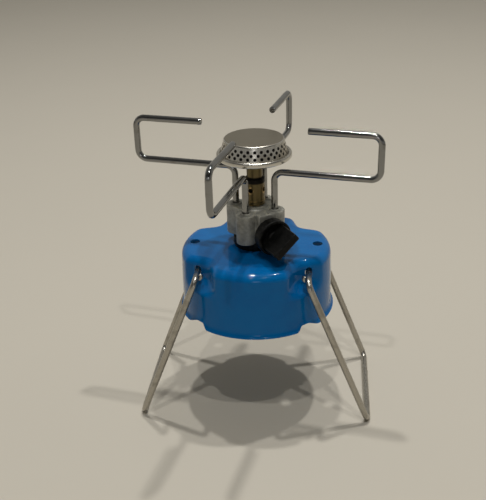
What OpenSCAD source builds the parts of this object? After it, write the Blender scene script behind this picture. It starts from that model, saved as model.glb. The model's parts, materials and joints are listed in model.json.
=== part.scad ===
// Camping gas stove for a pierceable cartridge.
// Millimetres. Z is up, the origin is on the floor under the burner's axis, and the
// two wire bails swing about axes along Y.

/* [Cup] */
// Outside diameter of the cup's wall
cup_d = 94; // [90:1:104]
// Height of the cup from its rim to its top
cup_h = 41; // [38:0.5:48]
// Height of the cup's rim above the floor
rim_z = 66.4; // [55:0.1:80]
// Thickness of the pressed sheet
cup_wall = 0.8; // [0.6:0.1:1.2]
// Radius of the rounded shoulder
shoulder_r = 6; // [5:0.5:10]
// How far the rim flares out
lip_out = 1.6; // [1:0.1:2.2]
// Height of the flare at the rim
lip_h = 3.6; // [2.5:0.1:5]
// Draft of the wall beside the dimples, on the radius
wall_draft = 0.4; // [0.2:0.05:0.8]
// Distance of the plain skirt's top below the dimples
skirt_drop = 0.4; // [0.2:0.1:1]
// Depth of the four pressed dimples
dimple_depth = 7.7; // [6:0.1:8.5]
// Radius of a dimple's hollow
dimple_r = 16; // [14:0.5:20]
// Height of a dimple's lower ledge above the rim
ledge_h = 22.4; // [18:0.1:24]
// Radius at the foot of a dimple
ledge_r = 4; // [2:0.1:5]
// Width of a rim notch
notch_w = 19; // [16:0.5:22]
// Height of a rim notch
notch_h = 3.4; // [2.5:0.1:4.5]
// Length of the steep step at a notch's end towards the front or back
notch_step = 4; // [2:0.1:5]
// Length of the gentle slope at a notch's end towards the side
notch_slope = 10; // [6:0.5:10.5]
// Angle of a rim notch from the X axis
notch_turn = 44; // [40:0.5:47]
// Diameter of the two vent holes
vent_d = 6.2; // [4:0.1:8]
// Distance of the vent holes from the cup's outer wall
vent_inset = 8.6; // [7:0.1:12]

/* [Legs] */
// Diameter of the leg wire
leg_wire_d = 4; // [3:0.1:5]
// Distance of the hook's axis in from the cup's outer wall, along X
hook_inset = 13.4; // [12:0.1:14.5]
// Depth of the hook's axis below the cup's top
hook_drop = 8.7; // [7.5:0.1:10]
// Length of the hook inside the dimple
hook_reach = 5; // [3:0.1:7]
// Height of the springing slot above the hook
hook_slot = 2.2; // [1:0.1:3]
// Gap between the upright leg and the cup's wall
leg_stand = 1.7; // [1.5:0.1:3]
// Angle that the legs splay out from upright
leg_splay = 21.7; // [15:0.1:28]
// Centreline radius of the bends at the hooks and feet
leg_bend_r = 5; // [4:0.1:7]
// Diameter of the pinched stop ear
ear_d = 3.4; // [2.5:0.1:4]
// Thickness of the stop ear
ear_t = 2.4; // [1.5:0.1:3]
// Distance of the stop ear from the hook's axis
ear_out = 2.7; // [2:0.1:3]
// Distance of the stop ear's middle from the dimple's wall, along the hook
ear_gap = 6; // [5:0.1:7]

/* [Collar] */
// Diameter of the black collar on the cup
collar_d = 27.6; // [25:0.1:30]
// Height of the collar above the cup
collar_h = 5.6; // [4:0.1:7]
// Diameter of the collar's spigot through the cup
spigot_d = 19; // [17:0.1:21]
// Diameter of the washer inside the cup
washer_d = 26; // [24:0.1:30]
// Thickness of the washer
washer_t = 0.8; // [0.5:0.1:1.5]
// Width across the corners of the collar's nut
nut_d = 25; // [23.5:0.1:28]
// Thickness of the collar's nut
nut_t = 3.2; // [2.5:0.1:4]
// Length of spigot below the nut
spigot_end = 0.8; // [0.4:0.1:1.5]

/* [Neck] */
// Diameter of the threaded neck
neck_d = 14; // [13:0.1:16]
// Length of the neck below the valve body
neck_len = 14.8; // [13.5:0.1:18]
// Diameter of the neck's stub inside the valve body
stub_d = 12; // [10:0.1:12.6]
// Length of the neck's stub
stub_len = 3.2; // [2.5:0.1:3.6]
// Diameter of the cartridge seal
seal_d = 10; // [8:0.1:11]
// Depth of the seal's recess
seal_recess = 3; // [2:0.1:3.5]
// How far the seal stands out below the neck
seal_out = 1; // [0.5:0.1:1.5]
// Diameter of the piercing needle
needle_d = 3.2; // [2.6:0.1:4]
// Bore of the piercing needle
needle_bore_d = 1.2; // [0.8:0.1:1.6]
// Length of the needle below the seal
needle_out = 4; // [3:0.1:6]
// Length of the needle's cut point
needle_point = 2.4; // [1.5:0.1:3]
// Length of neck between the seal and the needle's head
needle_seat = 4.5; // [3:0.1:5.5]
// Thickness of the needle's head
needle_head_t = 1; // [0.6:0.1:1.5]
// Diameter of the filter chamber
filter_d = 6; // [5:0.1:7]
// Thickness of the filter disc
filter_t = 4; // [2:0.1:5]

/* [Valve body] */
// Height of the valve body
valve_h = 18.9; // [17.5:0.1:21]
// Diameter of the core between the bosses
core_d = 24; // [21:0.1:26]
// Radius of the circle that the support pivots lie on
pivot_r = 13.1; // [12.5:0.1:15]
// Diameter of a pivot boss
boss_d = 12; // [10.5:0.1:13]
// Turn of the first boss about the axis
boss_turn = -21; // [-40:0.5:0]
// Height of the lip round each stem
boss_lip_h = 0.6; // [0.3:0.1:1]
// Width of the lip round each stem
boss_lip_w = 1.3; // [0.8:0.1:1.6]
// Diameter of the land under the burner tube
land_d = 16; // [13.5:0.1:17]
// Height of the land under the burner tube
land_h = 2; // [1:0.1:3]
// Turn of the spindle's port from midway between its two bosses
port_skew = 8; // [0:0.5:10]
// Diameter of the spindle's port
port_d = 14; // [12:0.1:14.6]
// Width of the casting's block above the port
block_w = 12; // [10:0.1:13]
// Height of the spindle's axis above the valve body's base
spindle_rise = 7.2; // [7:0.1:8]
// Diameter of the gas passages
gas_d = 1.6; // [1:0.1:2]
// Diameter of a retaining ring
clip_d = 7.6; // [6.6:0.1:8]
// Thickness of a retaining ring
clip_t = 1; // [0.6:0.1:1.5]
// Depth of the groove for a retaining ring
clip_groove = 0.5; // [0.3:0.1:0.7]
// Depth of a ring's pocket under its boss
clip_pocket = 2.6; // [2:0.1:4]

/* [Spindle and knob] */
// Diameter of the spindle
spindle_d = 5; // [4:0.1:5.6]
// Distance of the valve seat from the burner's axis
seat_out = 3; // [2.5:0.1:3.5]
// Thickness of the spindle's sealing ring
oring_d = 1.8; // [1.4:0.1:2.1]
// Travel of the spindle from shut to open
spindle_travel = 1.05; // [0.8:0.05:1.3]
// Length of the gland nut inside the port
gland_len = 2.2; // [1.5:0.1:2.6]
// Width across the corners of the gland nut
gland_d = 11.4; // [10.5:0.1:12]
// Thickness of the gland nut's hexagon
gland_t = 2; // [1.5:0.1:3]
// Diameter of the knob's skirt
knob_d = 22; // [19:0.1:23]
// Length of the knob's skirt
skirt_len = 7; // [6.5:0.1:9]
// Wall of the knob's skirt
skirt_wall = 1.8; // [1.2:0.1:2.5]
// Thickness of the knob's floor
knob_floor = 3.4; // [2.5:0.1:4.5]
// Length of the knob from its back to its paddle's end
knob_len = 21.5; // [19:0.1:28]
// Width of the knob's paddle
paddle_w = 18; // [14:0.1:18.2]
// Thickness of the knob's paddle
paddle_t = 5.6; // [5:0.1:7]
// Corner radius of the paddle's end
paddle_corner_r = 1.6; // [0.8:0.1:3]
// Tilt of the paddle from level when shut
paddle_tilt = 40; // [0:1:90]
// Diameter of the hub that holds the spindle
hub_d = 8; // [7.4:0.1:10]
// Length of spindle inside the knob
knob_grip = 9; // [7:0.1:12]
// Depth of the spindle's driving flat
drive_flat = 0.8; // [0.5:0.1:1.2]

/* [Burner] */
// Diameter of the air sleeve
sleeve_d = 12; // [11.4:0.1:13]
// Height of the air sleeve
sleeve_h = 16.8; // [15:0.1:19]
// Height of the tube's foot inside the sleeve
tube_foot = 6.8; // [6:0.1:7.5]
// Height of the air holes above the sleeve's foot
air_rise = 9.8; // [9.6:0.1:11]
// Diameter of an air hole
air_d = 3; // [2:0.1:3.5]
// Diameter of the burner tube
tube_d = 9.6; // [9.2:0.1:10.2]
// Wall of the burner tube
tube_wall = 0.8; // [0.5:0.1:1]
// Length of the burner tube
tube_len = 24.8; // [22:0.1:27]
// Width across the corners of the jet
jet_d = 7.4; // [6.4:0.1:7.8]
// Height of the jet's hexagon
jet_hex_h = 2.6; // [2:0.1:3]
// Diameter of the jet's nozzle
jet_nozzle_d = 4; // [3:0.1:5]
// Height of the jet's nozzle above its hexagon
jet_nozzle_h = 3; // [2:0.1:4]
// Diameter of the jet's thread
jet_thread_d = 5; // [4:0.1:6]
// Length of the jet's thread
jet_thread_l = 4; // [3:0.1:5]
// Bore of the jet
jet_bore_d = 0.6; // [0.4:0.1:1]
// Diameter of the burner's rolled rim
burner_d = 45; // [43.5:0.1:50]
// Thickness of the rolled rim
roll_d = 2.2; // [1.6:0.1:2.6]
// Height of the rolled rim
roll_h = 3.3; // [2.8:0.1:4]
// Thickness of the burner's sheet
burner_wall = 0.7; // [0.5:0.1:0.9]
// Depth of the burner's dish below its seat
dish_depth = 2; // [1:0.1:3]
// Length of the dish's hub below the dish
dish_hub = 2.6; // [2:0.1:4]
// Width of the flat seat inside the rim
seat_w = 2.6; // [2:0.1:3.2]
// Diameter of the burner's flat top
cap_top_d = 35.6; // [33:0.1:37]
// Height of the burner's cap
cap_h = 10; // [9:0.1:12]
// Radius of the cap's upper edge
cap_edge_r = 1.2; // [0.8:0.1:1.6]
// Number of flame holes in a row
port_count = 30; // [20:1:32]
// Diameter of a flame hole
port_hole_d = 1.9; // [1.4:0.1:2.1]
// Distance of the first row of flame holes from the cap's top, along the cone
port_first = 3.2; // [2.8:0.1:3.6]
// Spacing of the rows of flame holes along the cone
port_pitch = 2.1; // [1.9:0.1:2.4]
// Diameter of the gauze ring
gauze_d = 33; // [30:0.1:34]
// Thickness of the gauze ring
gauze_t = 0.4; // [0.3:0.1:0.6]
// Height of the gauze ring
gauze_h = 8; // [6:0.1:8.2]

/* [Pot supports] */
// Diameter of the support wire
support_wire_d = 4; // [3.4:0.1:4.4]
// Height of the lower run above the valve body
support_rise = 24; // [22:0.1:26]
// Height of the upper run above the lower run
support_h = 26.2; // [24:0.1:32]
// Reach of a support from its pivot
support_reach = 62.8; // [50:0.1:75]
// Distance of the upper run's inner end from the pivot
support_inner = 20.3; // [15:0.1:30]
// Centreline radius of the bends
support_bend_r = 5.5; // [4:0.1:8]
// Turn of each support from its radius, as placed
support_turn = 9.5; // [0:0.5:20]

/* [Fits] */
// Clearance on a radius where pieces turn or slide
run_gap = 0.06; // [0.03:0.01:0.1]
// Clearance on a radius between pieces that are fixed together
snug_gap = 0.03; // [0.01:0.01:0.05]
// Gap between faces of pieces that move on each other
turn_gap = 0.4; // [0.3:0.1:0.8]

/* [Hidden] */
$fn = 64;
// Overlap that keeps a cut clear of a face
over = 1;

// Cup
cup_r = cup_d / 2;
top_z = rim_z + cup_h;
dimple_axis = cup_r - dimple_depth + dimple_r;
ledge_z = rim_z + ledge_h;
skirt_z = ledge_z - skirt_drop;
vent_x = cup_r - vent_inset;

// Legs
leg_r = leg_wire_d / 2;
hook_x = cup_r - hook_inset;
hook_z = top_z - hook_drop;
dimple_x = dimple_axis * cos(45);
dimple_y = dimple_x - sqrt(pow(dimple_r, 2) - pow(dimple_x - hook_x, 2));
hook_tip_y = dimple_y - hook_reach;
leg_y = sqrt(pow(cup_r + leg_stand + leg_r, 2) - pow(hook_x, 2));
leg_len = (hook_z - leg_r) / cos(leg_splay);

// Collar, washer and nut
spigot_r = spigot_d / 2;
neck_r = neck_d / 2;
collar_z = top_z + collar_h;
under_z = top_z - cup_wall;
washer_z = under_z - washer_t;
nut_z = washer_z - nut_t;
spigot_z = nut_z - spigot_end;

// Valve body and neck
valve_z = collar_z + turn_gap;
valve_top = valve_z + valve_h;
neck_z = valve_z - neck_len;
plenum = 0.4;
stub_z = valve_z + stub_len;
socket_z = stub_z + plenum;
seal_top = neck_z + seal_recess;
seal_z = neck_z - seal_out;
needle_head_z = seal_top + needle_seat;
filter_z = needle_head_z + needle_head_t;
needle_r = needle_d / 2;
// Wall left round the bore at the needle's point
needle_edge = 0.1;
stem_r = support_wire_d / 2;
pocket_z = valve_z + clip_pocket;
groove_r = stem_r - clip_groove;
// How far a stem's foot stays inside its pocket
stem_inset = 0.6;
stem_z = valve_z + stem_inset;

// Spindle: distances along its axis from the burner's axis
spindle_z = valve_z + spindle_rise;
spindle_r = spindle_d / 2;
port_turn = boss_turn - 45 + port_skew;
port_end = pivot_r * cos(45 - port_skew) + boss_d / 2;
groove_depth = oring_d / 3;
ring_r = spindle_r - groove_depth;
packing_r = ring_r + oring_d + 2 * run_gap;
gland_in = port_end - gland_len;
oring_s = gland_in - oring_d / 2 - spindle_travel - turn_gap;
packing_s = oring_s - oring_d / 2 - turn_gap;
gland_face = port_end + gland_t;
knob_s = gland_face + turn_gap;
spindle_end = knob_s + knob_grip;
// Thickness of the hub over the spindle's end
hub_end = 1;
seat_gap = 0.05;
tip_s = seat_out - gas_d / 4;
tip_r = gas_d / 4 - seat_gap;

// Burner
land_z = valve_top + land_h;
sleeve_r = sleeve_d / 2;
tube_r = tube_d / 2;
tube_z = land_z + tube_foot;
tube_top = tube_z + tube_len;
// Gap between the jet's corners and the sleeve
jet_gap = 0.4;
jet_room_r = jet_d / 2 + jet_gap;
air_z = land_z + air_rise;
seat_z = tube_top;
burner_r = burner_d / 2;
roll_r = roll_d / 2;
roll_z = seat_z + roll_r - burner_wall;
seat_out_r = burner_r - 2 * roll_r;
seat_in_r = seat_out_r - seat_w;
dish_hub_r = tube_r + snug_gap + burner_wall;
dish_z = seat_z - dish_depth;
cap_r = cap_top_d / 2;
cap_z = seat_z + cap_h;
cap_foot_r = seat_out_r - snug_gap;
cone_lean = atan((cap_foot_r - cap_r) / cap_h);
// Length of the cut that makes a flame hole
flame_cut = 4 * burner_wall;
flame_rows = 3;

// Pot supports
run_z = valve_top + support_rise;
rest_z = run_z + support_h;

// A tube or ring between two heights.
module ring(r_out, r_in, z0, z1) {
  translate([0, 0, z0])
    difference() {
      cylinder(r = r_out, h = z1 - z0);
      translate([0, 0, -over])
        cylinder(r = r_in, h = z1 - z0 + 2 * over);
    }
}

// A solid cylinder between two heights.
module rod(r, z0, z1) {
  translate([0, 0, z0])
    cylinder(r = r, h = z1 - z0);
}

// A quarter bend of round wire in the XZ plane. It leaves the origin along +Z and
// ends at (bend_r, 0, bend_r), heading along +X.
module bend(wire_r, bend_r) {
  translate([bend_r, 0, 0])
    rotate([90, 0, 0])
      rotate([0, 0, 90])
        rotate_extrude(angle = 90)
          translate([bend_r, 0])
            circle(r = wire_r);
}

// Turned form of the cup, inset by a wall thickness.
module cup_form(inset, floor_z) {
  r = cup_r - inset;
  upper_r = r - wall_draft;
  z = top_z - inset;
  round_r = shoulder_r - inset;
  wall_z = z - round_r;
  rotate_extrude() {
    translate([0, z - shoulder_r])
      square([upper_r - round_r, shoulder_r]);
    translate([upper_r - round_r, wall_z])
      intersection() {
        circle(r = round_r);
        square(round_r);
      }
    polygon([[0, rim_z], [r, rim_z], [r, skirt_z - inset], [upper_r, wall_z], [0, wall_z]]);
    polygon([[0, floor_z], [r + lip_out, floor_z], [r + lip_out, rim_z],
             [r, rim_z + lip_h], [0, rim_z + lip_h]]);
  }
}

// One pressed dimple as a cutting form, turned about an upright axis outside the cup.
module dimple_form(inset) {
  r = dimple_r + inset;
  z0 = ledge_z - inset;
  foot_r = ledge_r + inset;
  flare_r = shoulder_r - inset;
  flare_z = top_z - shoulder_r;
  translate([dimple_axis, 0, 0])
    rotate_extrude() {
      translate([0, z0])
        square([r - foot_r, top_z + over - z0]);
      translate([0, z0 + foot_r])
        square([r, top_z + over - z0 - foot_r]);
      translate([r - foot_r, z0 + foot_r])
        intersection() {
          circle(r = foot_r);
          translate([0, -foot_r])
            square(foot_r);
        }
      difference() {
        translate([r - over, flare_z])
          square([flare_r + over, shoulder_r + over]);
        translate([r + flare_r, flare_z])
          circle(r = flare_r);
      }
    }
}

// The cup's outer or inner form with its four dimples.
module pressed_form(inset, floor_z) {
  difference() {
    cup_form(inset, floor_z);
    for (turn = [45:90:315])
      rotate([0, 0, turn])
        dimple_form(inset);
  }
}

// One rim notch as a cutting form, facing +X, with its steep step towards +Y.
module rim_notch() {
  half = notch_w / 2;
  translate([cup_r / 2, 0, rim_z])
    rotate([90, 0, 90])
      linear_extrude(height = cup_r)
        polygon([[-half, -over], [half, -over], [half, 0], [half - notch_step, notch_h],
                 [notch_slope - half, notch_h], [-half, 0]]);
}

// Hole and springing slot for one pair of hooks, along Y.
module hook_hole() {
  hole_r = leg_r + run_gap;
  rotate([90, 0, 0])
    linear_extrude(height = cup_d, center = true)
      union() {
        circle(r = hole_r);
        translate([0, hook_slot])
          circle(r = hole_r);
        translate([-hole_r, 0])
          square([2 * hole_r, hook_slot]);
      }
}

module cartridge_cup() {
  color("#0060a8")
    difference() {
      pressed_form(0, rim_z);
      pressed_form(cup_wall, rim_z - over);
      for (side = [0, 180]) {
        rotate([0, 0, side])
          translate([hook_x, 0, hook_z])
            hook_hole();
        rotate([0, 0, side])
          translate([vent_x, 0, top_z - shoulder_r])
            cylinder(d = vent_d, h = shoulder_r + over);
        rotate([0, 0, side])
          for (flip = [0, 1])
            mirror([0, flip, 0])
              rotate([0, 0, notch_turn])
                rim_notch();
      }
      rod(spigot_r + snug_gap, under_z - over, top_z + over);
    }
}

module neck_collar() {
  color("#1a1a1a")
    union() {
      ring(collar_d / 2, neck_r + run_gap, top_z, collar_z);
      ring(spigot_r, neck_r + run_gap, spigot_z, top_z);
    }
}

module collar_washer() {
  color("silver")
    ring(washer_d / 2, spigot_r + snug_gap, washer_z, under_z);
}

module collar_nut() {
  color("goldenrod")
    translate([0, 0, nut_z])
      difference() {
        cylinder(d = nut_d, h = nut_t, $fn = 6);
        translate([0, 0, -over])
          cylinder(r = spigot_r + snug_gap, h = nut_t + 2 * over);
      }
}

// Half of a bail in its own frame: hook along Y at the origin, leg straight down.
module half_bail() {
  leg_run = leg_len - 2 * leg_bend_r;
  translate([0, hook_tip_y, 0])
    rotate([-90, 0, 0])
      cylinder(r = leg_r, h = leg_y - leg_bend_r - hook_tip_y);
  translate([0, leg_y, -leg_bend_r])
    rotate([0, 0, -90])
      bend(leg_r, leg_bend_r);
  rod_at_leg(leg_run);
  translate([0, leg_y, leg_bend_r - leg_len])
    rotate([0, 0, -90])
      mirror([0, 0, 1])
        bend(leg_r, leg_bend_r);
  translate([0, 0, -leg_len])
    rotate([-90, 0, 0])
      cylinder(r = leg_r, h = leg_y - leg_bend_r);
  translate([-ear_out, dimple_y + ear_gap, 0])
    rotate([90, 0, 0])
      cylinder(d = ear_d, h = ear_t, center = true);
}

// The straight stretch of a leg between its two bends.
module rod_at_leg(run) {
  translate([0, leg_y, -leg_bend_r - run])
    cylinder(r = leg_r, h = run);
}

// A whole bail, splayed out on the +X side.
module bail() {
  translate([hook_x, 0, hook_z])
    rotate([0, -leg_splay, 0])
      union() {
        half_bail();
        mirror([0, 1, 0])
          half_bail();
      }
}

module leg_right() {
  color("#b9b5ac")
    bail();
}

module leg_left() {
  color("#b9b5ac")
    rotate([0, 0, 180])
      bail();
}

module threaded_neck() {
  color("goldenrod")
    difference() {
      union() {
        rod(neck_r, neck_z, valve_z);
        rod(stub_d / 2, valve_z - over, stub_z);
      }
      rod(seal_d / 2, neck_z - over, seal_top);
      rod(needle_r + snug_gap, neck_z, stub_z + over);
      rod(filter_d / 2, needle_head_z, filter_z + filter_t);
    }
}

module piercing_needle() {
  point_z = seal_z - needle_out;
  color("silver")
    difference() {
      union() {
        translate([0, 0, point_z])
          cylinder(r1 = needle_bore_d / 2 + needle_edge, r2 = needle_r, h = needle_point);
        rod(needle_r, point_z + needle_point, filter_z);
        rod(filter_d / 2 - snug_gap, needle_head_z, filter_z);
      }
      rod(needle_bore_d / 2, point_z - over, filter_z + over);
    }
}

module cartridge_seal() {
  color("#202020")
    ring(seal_d / 2 - run_gap, needle_r + run_gap, seal_z, seal_top - run_gap);
}

module gas_filter() {
  color("#8a6a3a")
    rod(filter_d / 2 - snug_gap, filter_z, filter_z + filter_t);
}

// Places children on the four pivots.
module on_pivots() {
  for (turn = [0:90:270])
    rotate([0, 0, boss_turn + turn])
      translate([pivot_r, 0, 0])
        children();
}

// Places children along the spindle's axis: their Z runs outwards.
module on_spindle() {
  translate([0, 0, spindle_z])
    rotate([0, 0, port_turn])
      rotate([0, 90, 0])
        children();
}

module valve_body() {
  color("#77777a")
    difference() {
      union() {
        rod(core_d / 2, valve_z, valve_top);
        rod(land_d / 2, valve_top - over, land_z);
        on_pivots()
          union() {
            rod(boss_d / 2, valve_z, valve_top);
            rod(stem_r + run_gap + boss_lip_w, valve_top - over, valve_top + boss_lip_h);
            translate([-pivot_r, -boss_d / 2, valve_z])
              cube([pivot_r, boss_d, valve_h]);
          }
        on_spindle()
          rod(port_d / 2, 0, port_end);
        rotate([0, 0, port_turn])
          translate([0, -block_w / 2, spindle_z])
            cube([port_end, block_w, valve_top - spindle_z]);
      }
      on_pivots()
        union() {
          rod(stem_r + run_gap, valve_z - over, valve_top + boss_lip_h + over);
          rod(clip_d / 2 + snug_gap, valve_z - over, pocket_z);
        }
      rod(stub_d / 2 + snug_gap, valve_z - over, socket_z);
      rod(gas_d / 2, spindle_z, land_z);
      rod(jet_thread_d / 2 + snug_gap, land_z - jet_thread_l, land_z + over);
      on_spindle()
        union() {
          rod(gas_d / 2, 0, seat_out + over);
          rod(spindle_r + run_gap, seat_out, packing_s + over);
          rod(packing_r, packing_s, port_end + over);
        }
      rotate([0, 0, port_turn])
        translate([seat_out + gas_d, 0, 0])
          rod(gas_d / 2, socket_z - over, spindle_z);
    }
}

module support_clips() {
  color("silver")
    on_pivots()
      ring(clip_d / 2, groove_r + run_gap, pocket_z - clip_t, pocket_z);
}

module injector_jet() {
  hex_top = land_z + jet_hex_h;
  color("goldenrod")
    difference() {
      union() {
        rod(jet_thread_d / 2, land_z - jet_thread_l, land_z);
        translate([0, 0, land_z])
          cylinder(d = jet_d, h = jet_hex_h, $fn = 6);
        rod(jet_nozzle_d / 2, hex_top, hex_top + jet_nozzle_h);
      }
      rod(gas_d / 2, land_z - jet_thread_l - over, hex_top);
      rod(jet_bore_d / 2, hex_top - over, hex_top + jet_nozzle_h + over);
    }
}

// Two crossed bores for the air holes.
module air_holes() {
  for (turn = [0, 90])
    rotate([0, 0, boss_turn + turn])
      translate([0, 0, air_z])
        rotate([90, 0, 0])
          cylinder(d = air_d, h = sleeve_d + 2 * over, center = true);
}

module air_sleeve() {
  color("#6b5530")
    difference() {
      rod(sleeve_r, land_z, land_z + sleeve_h);
      rod(jet_room_r, land_z - over, tube_z);
      rod(tube_r + snug_gap, tube_z, land_z + sleeve_h + over);
      air_holes();
    }
}

module burner_tube() {
  color("#6b5530")
    difference() {
      ring(tube_r, tube_r - tube_wall, tube_z, tube_top);
      air_holes();
    }
}

module burner_base() {
  color("#a8a49a")
    rotate_extrude()
      union() {
        translate([tube_r + snug_gap, dish_z - dish_hub])
          square([burner_wall, dish_hub]);
        polygon([[tube_r + snug_gap, dish_z - burner_wall], [dish_hub_r, dish_z - burner_wall],
                 [seat_in_r, seat_z - burner_wall], [burner_r - roll_r, seat_z - burner_wall],
                 [burner_r - roll_r, seat_z], [seat_in_r, seat_z], [dish_hub_r, dish_z],
                 [tube_r + snug_gap, dish_z]]);
        translate([burner_r - roll_d, roll_z - roll_h + roll_d])
          square([roll_d, roll_h - roll_d]);
        for (z = [roll_z - roll_h + roll_d, roll_z])
          translate([burner_r - roll_r, z])
            circle(r = roll_r);
      }
}

module port_gauze() {
  color("#8c8c88")
    ring(gauze_d / 2, gauze_d / 2 - gauze_t, seat_z, seat_z + gauze_h);
}

// The cap's turned form, inset by its sheet thickness and carried down to a floor.
module cap_form(inset, floor_z) {
  slant = inset / cos(cone_lean);
  foot_r = cap_foot_r - slant + (seat_z - floor_z) * tan(cone_lean);
  edge_r = cap_edge_r;
  rotate_extrude()
    difference() {
      polygon([[0, floor_z], [foot_r, floor_z],
               [cap_r - slant + inset * tan(cone_lean), cap_z - inset], [0, cap_z - inset]]);
      if (inset == 0)
        translate([cap_r - edge_r * tan(45 - cone_lean / 2), cap_z - edge_r])
          difference() {
            square([2 * edge_r, 2 * edge_r]);
            circle(r = edge_r);
          }
    }
}

// One ring of flame holes, square to the cone.
module flame_row(row) {
  along = port_first + row * port_pitch;
  for (i = [0:port_count - 1])
    rotate([0, 0, (i + row / 2) * 360 / port_count])
      translate([cap_r + along * sin(cone_lean), 0, cap_z - along * cos(cone_lean)])
        rotate([0, 90 - cone_lean, 0])
          cylinder(d = port_hole_d, h = flame_cut, center = true);
}

module burner_cap() {
  color("#b4b0a6")
    difference() {
      cap_form(0, seat_z);
      cap_form(burner_wall, seat_z - over);
      for (row = [0:flame_rows - 1])
        flame_row(row);
    }
}

module gland_nut() {
  color("goldenrod")
    on_spindle()
      difference() {
        union() {
          rod(packing_r - snug_gap, gland_in, port_end);
          translate([0, 0, port_end])
            cylinder(d = gland_d, h = gland_t, $fn = 6);
        }
        rod(spindle_r + run_gap, gland_in - over, gland_face + over);
      }
}

module spindle_oring() {
  color("#202020")
    on_spindle()
      translate([0, 0, oring_s])
        rotate_extrude()
          translate([ring_r + run_gap + oring_d / 2, 0])
            circle(d = oring_d);
}

module valve_spindle() {
  cone_h = spindle_r - tip_r;
  groove_w = oring_d + 2 * run_gap;
  color("goldenrod")
    on_spindle()
      difference() {
        union() {
          translate([0, 0, tip_s])
            cylinder(r1 = tip_r, r2 = spindle_r, h = cone_h);
          rod(spindle_r, tip_s + cone_h, spindle_end);
        }
        ring(spindle_r + over, ring_r, oring_s - groove_w / 2, oring_s + groove_w / 2);
        translate([spindle_r - drive_flat, -spindle_r, knob_s])
          cube([spindle_r, spindle_d, knob_grip + over]);
      }
}

// The paddle's outline, from the knob's floor outwards, with rounded corners.
module paddle_outline() {
  half = paddle_w / 2;
  run = knob_len - knob_floor;
  translate([-half, 0])
    square([paddle_w, run - paddle_corner_r]);
  translate([paddle_corner_r - half, 0])
    square([paddle_w - 2 * paddle_corner_r, run]);
  for (side = [-1, 1])
    translate([side * (half - paddle_corner_r), run - paddle_corner_r])
      circle(r = paddle_corner_r);
}

module control_knob() {
  color("#151515")
    on_spindle()
      translate([0, 0, knob_s])
        difference() {
          union() {
            rod(knob_d / 2, 0, knob_floor);
            ring(knob_d / 2, knob_d / 2 - skirt_wall, 0, skirt_len);
            rod(hub_d / 2, 0, knob_grip + hub_end);
            rotate([0, 0, 90 + paddle_tilt])
              translate([0, 0, knob_floor])
                rotate([90, 0, 0])
                  linear_extrude(height = paddle_t, center = true)
                    paddle_outline();
          }
          difference() {
            rod(spindle_r + snug_gap, -over, knob_grip + snug_gap);
            translate([spindle_r - drive_flat + snug_gap, -spindle_d, -2 * over])
              cube([spindle_d, 2 * spindle_d, knob_grip + 4 * over]);
          }
        }
}

// One pot support in the boss that faces +X, its stem on the pivot.
module pot_support(turn) {
  rotate([0, 0, boss_turn + turn])
    translate([pivot_r, 0, 0])
      rotate([0, 0, support_turn])
        union() {
          difference() {
            rod(stem_r, stem_z, run_z - support_bend_r);
            ring(stem_r + over, groove_r, pocket_z - clip_t - run_gap, pocket_z + run_gap);
          }
          translate([0, 0, run_z - support_bend_r])
            bend(stem_r, support_bend_r);
          translate([support_bend_r, 0, run_z])
            rotate([0, 90, 0])
              cylinder(r = stem_r, h = support_reach - 2 * support_bend_r);
          translate([support_reach, 0, run_z + support_bend_r])
            mirror([0, 0, 1])
              mirror([1, 0, 0])
                bend(stem_r, support_bend_r);
          rod_at_reach();
          translate([support_reach, 0, rest_z - support_bend_r])
            mirror([1, 0, 0])
              bend(stem_r, support_bend_r);
          translate([support_inner, 0, rest_z])
            rotate([0, 90, 0])
              cylinder(r = stem_r, h = support_reach - support_bend_r - support_inner);
        }
}

// The upright at the outer end of a support.
module rod_at_reach() {
  translate([support_reach, 0, 0])
    rod(stem_r, run_z + support_bend_r, rest_z - support_bend_r);
}

module pot_support_right() {
  color("#c8c8c8")
    pot_support(0);
}

module pot_support_rear() {
  color("#c8c8c8")
    pot_support(90);
}

module pot_support_left() {
  color("#c8c8c8")
    pot_support(180);
}

module pot_support_front() {
  color("#c8c8c8")
    pot_support(270);
}

cartridge_cup();
neck_collar();
collar_washer();
collar_nut();
leg_left();
leg_right();
threaded_neck();
piercing_needle();
cartridge_seal();
gas_filter();
valve_body();
support_clips();
injector_jet();
air_sleeve();
burner_tube();
burner_base();
port_gauze();
burner_cap();
gland_nut();
spindle_oring();
valve_spindle();
control_knob();
pot_support_right();
pot_support_rear();
pot_support_left();
pot_support_front();
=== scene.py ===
"""Visible pieces and finishes of a camping gas stove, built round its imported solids.

Metres. Z is up, the burner's axis is the Z axis, and the two wire bails swing about axes along Y.
"""

import json

import bmesh
import bpy
import numpy as np
from mathutils import Matrix, Vector


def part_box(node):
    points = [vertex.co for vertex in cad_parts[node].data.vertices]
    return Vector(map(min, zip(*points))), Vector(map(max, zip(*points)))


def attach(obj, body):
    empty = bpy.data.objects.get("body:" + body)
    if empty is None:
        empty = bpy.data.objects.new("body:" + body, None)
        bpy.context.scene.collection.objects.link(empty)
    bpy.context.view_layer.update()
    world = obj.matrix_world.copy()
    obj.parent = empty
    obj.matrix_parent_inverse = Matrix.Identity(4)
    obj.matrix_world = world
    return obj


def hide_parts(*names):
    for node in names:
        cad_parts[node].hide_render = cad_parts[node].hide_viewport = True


bl_info = {
    "name": "Camping stove finish",
    "version": (1, 0, 0),
    "blender": (4, 5, 0),
    "location": "View3D > Sidebar > Stove",
    "description": "Builds the visible pieces and the finishes of a camping gas stove",
    "category": "Object",
}

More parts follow.
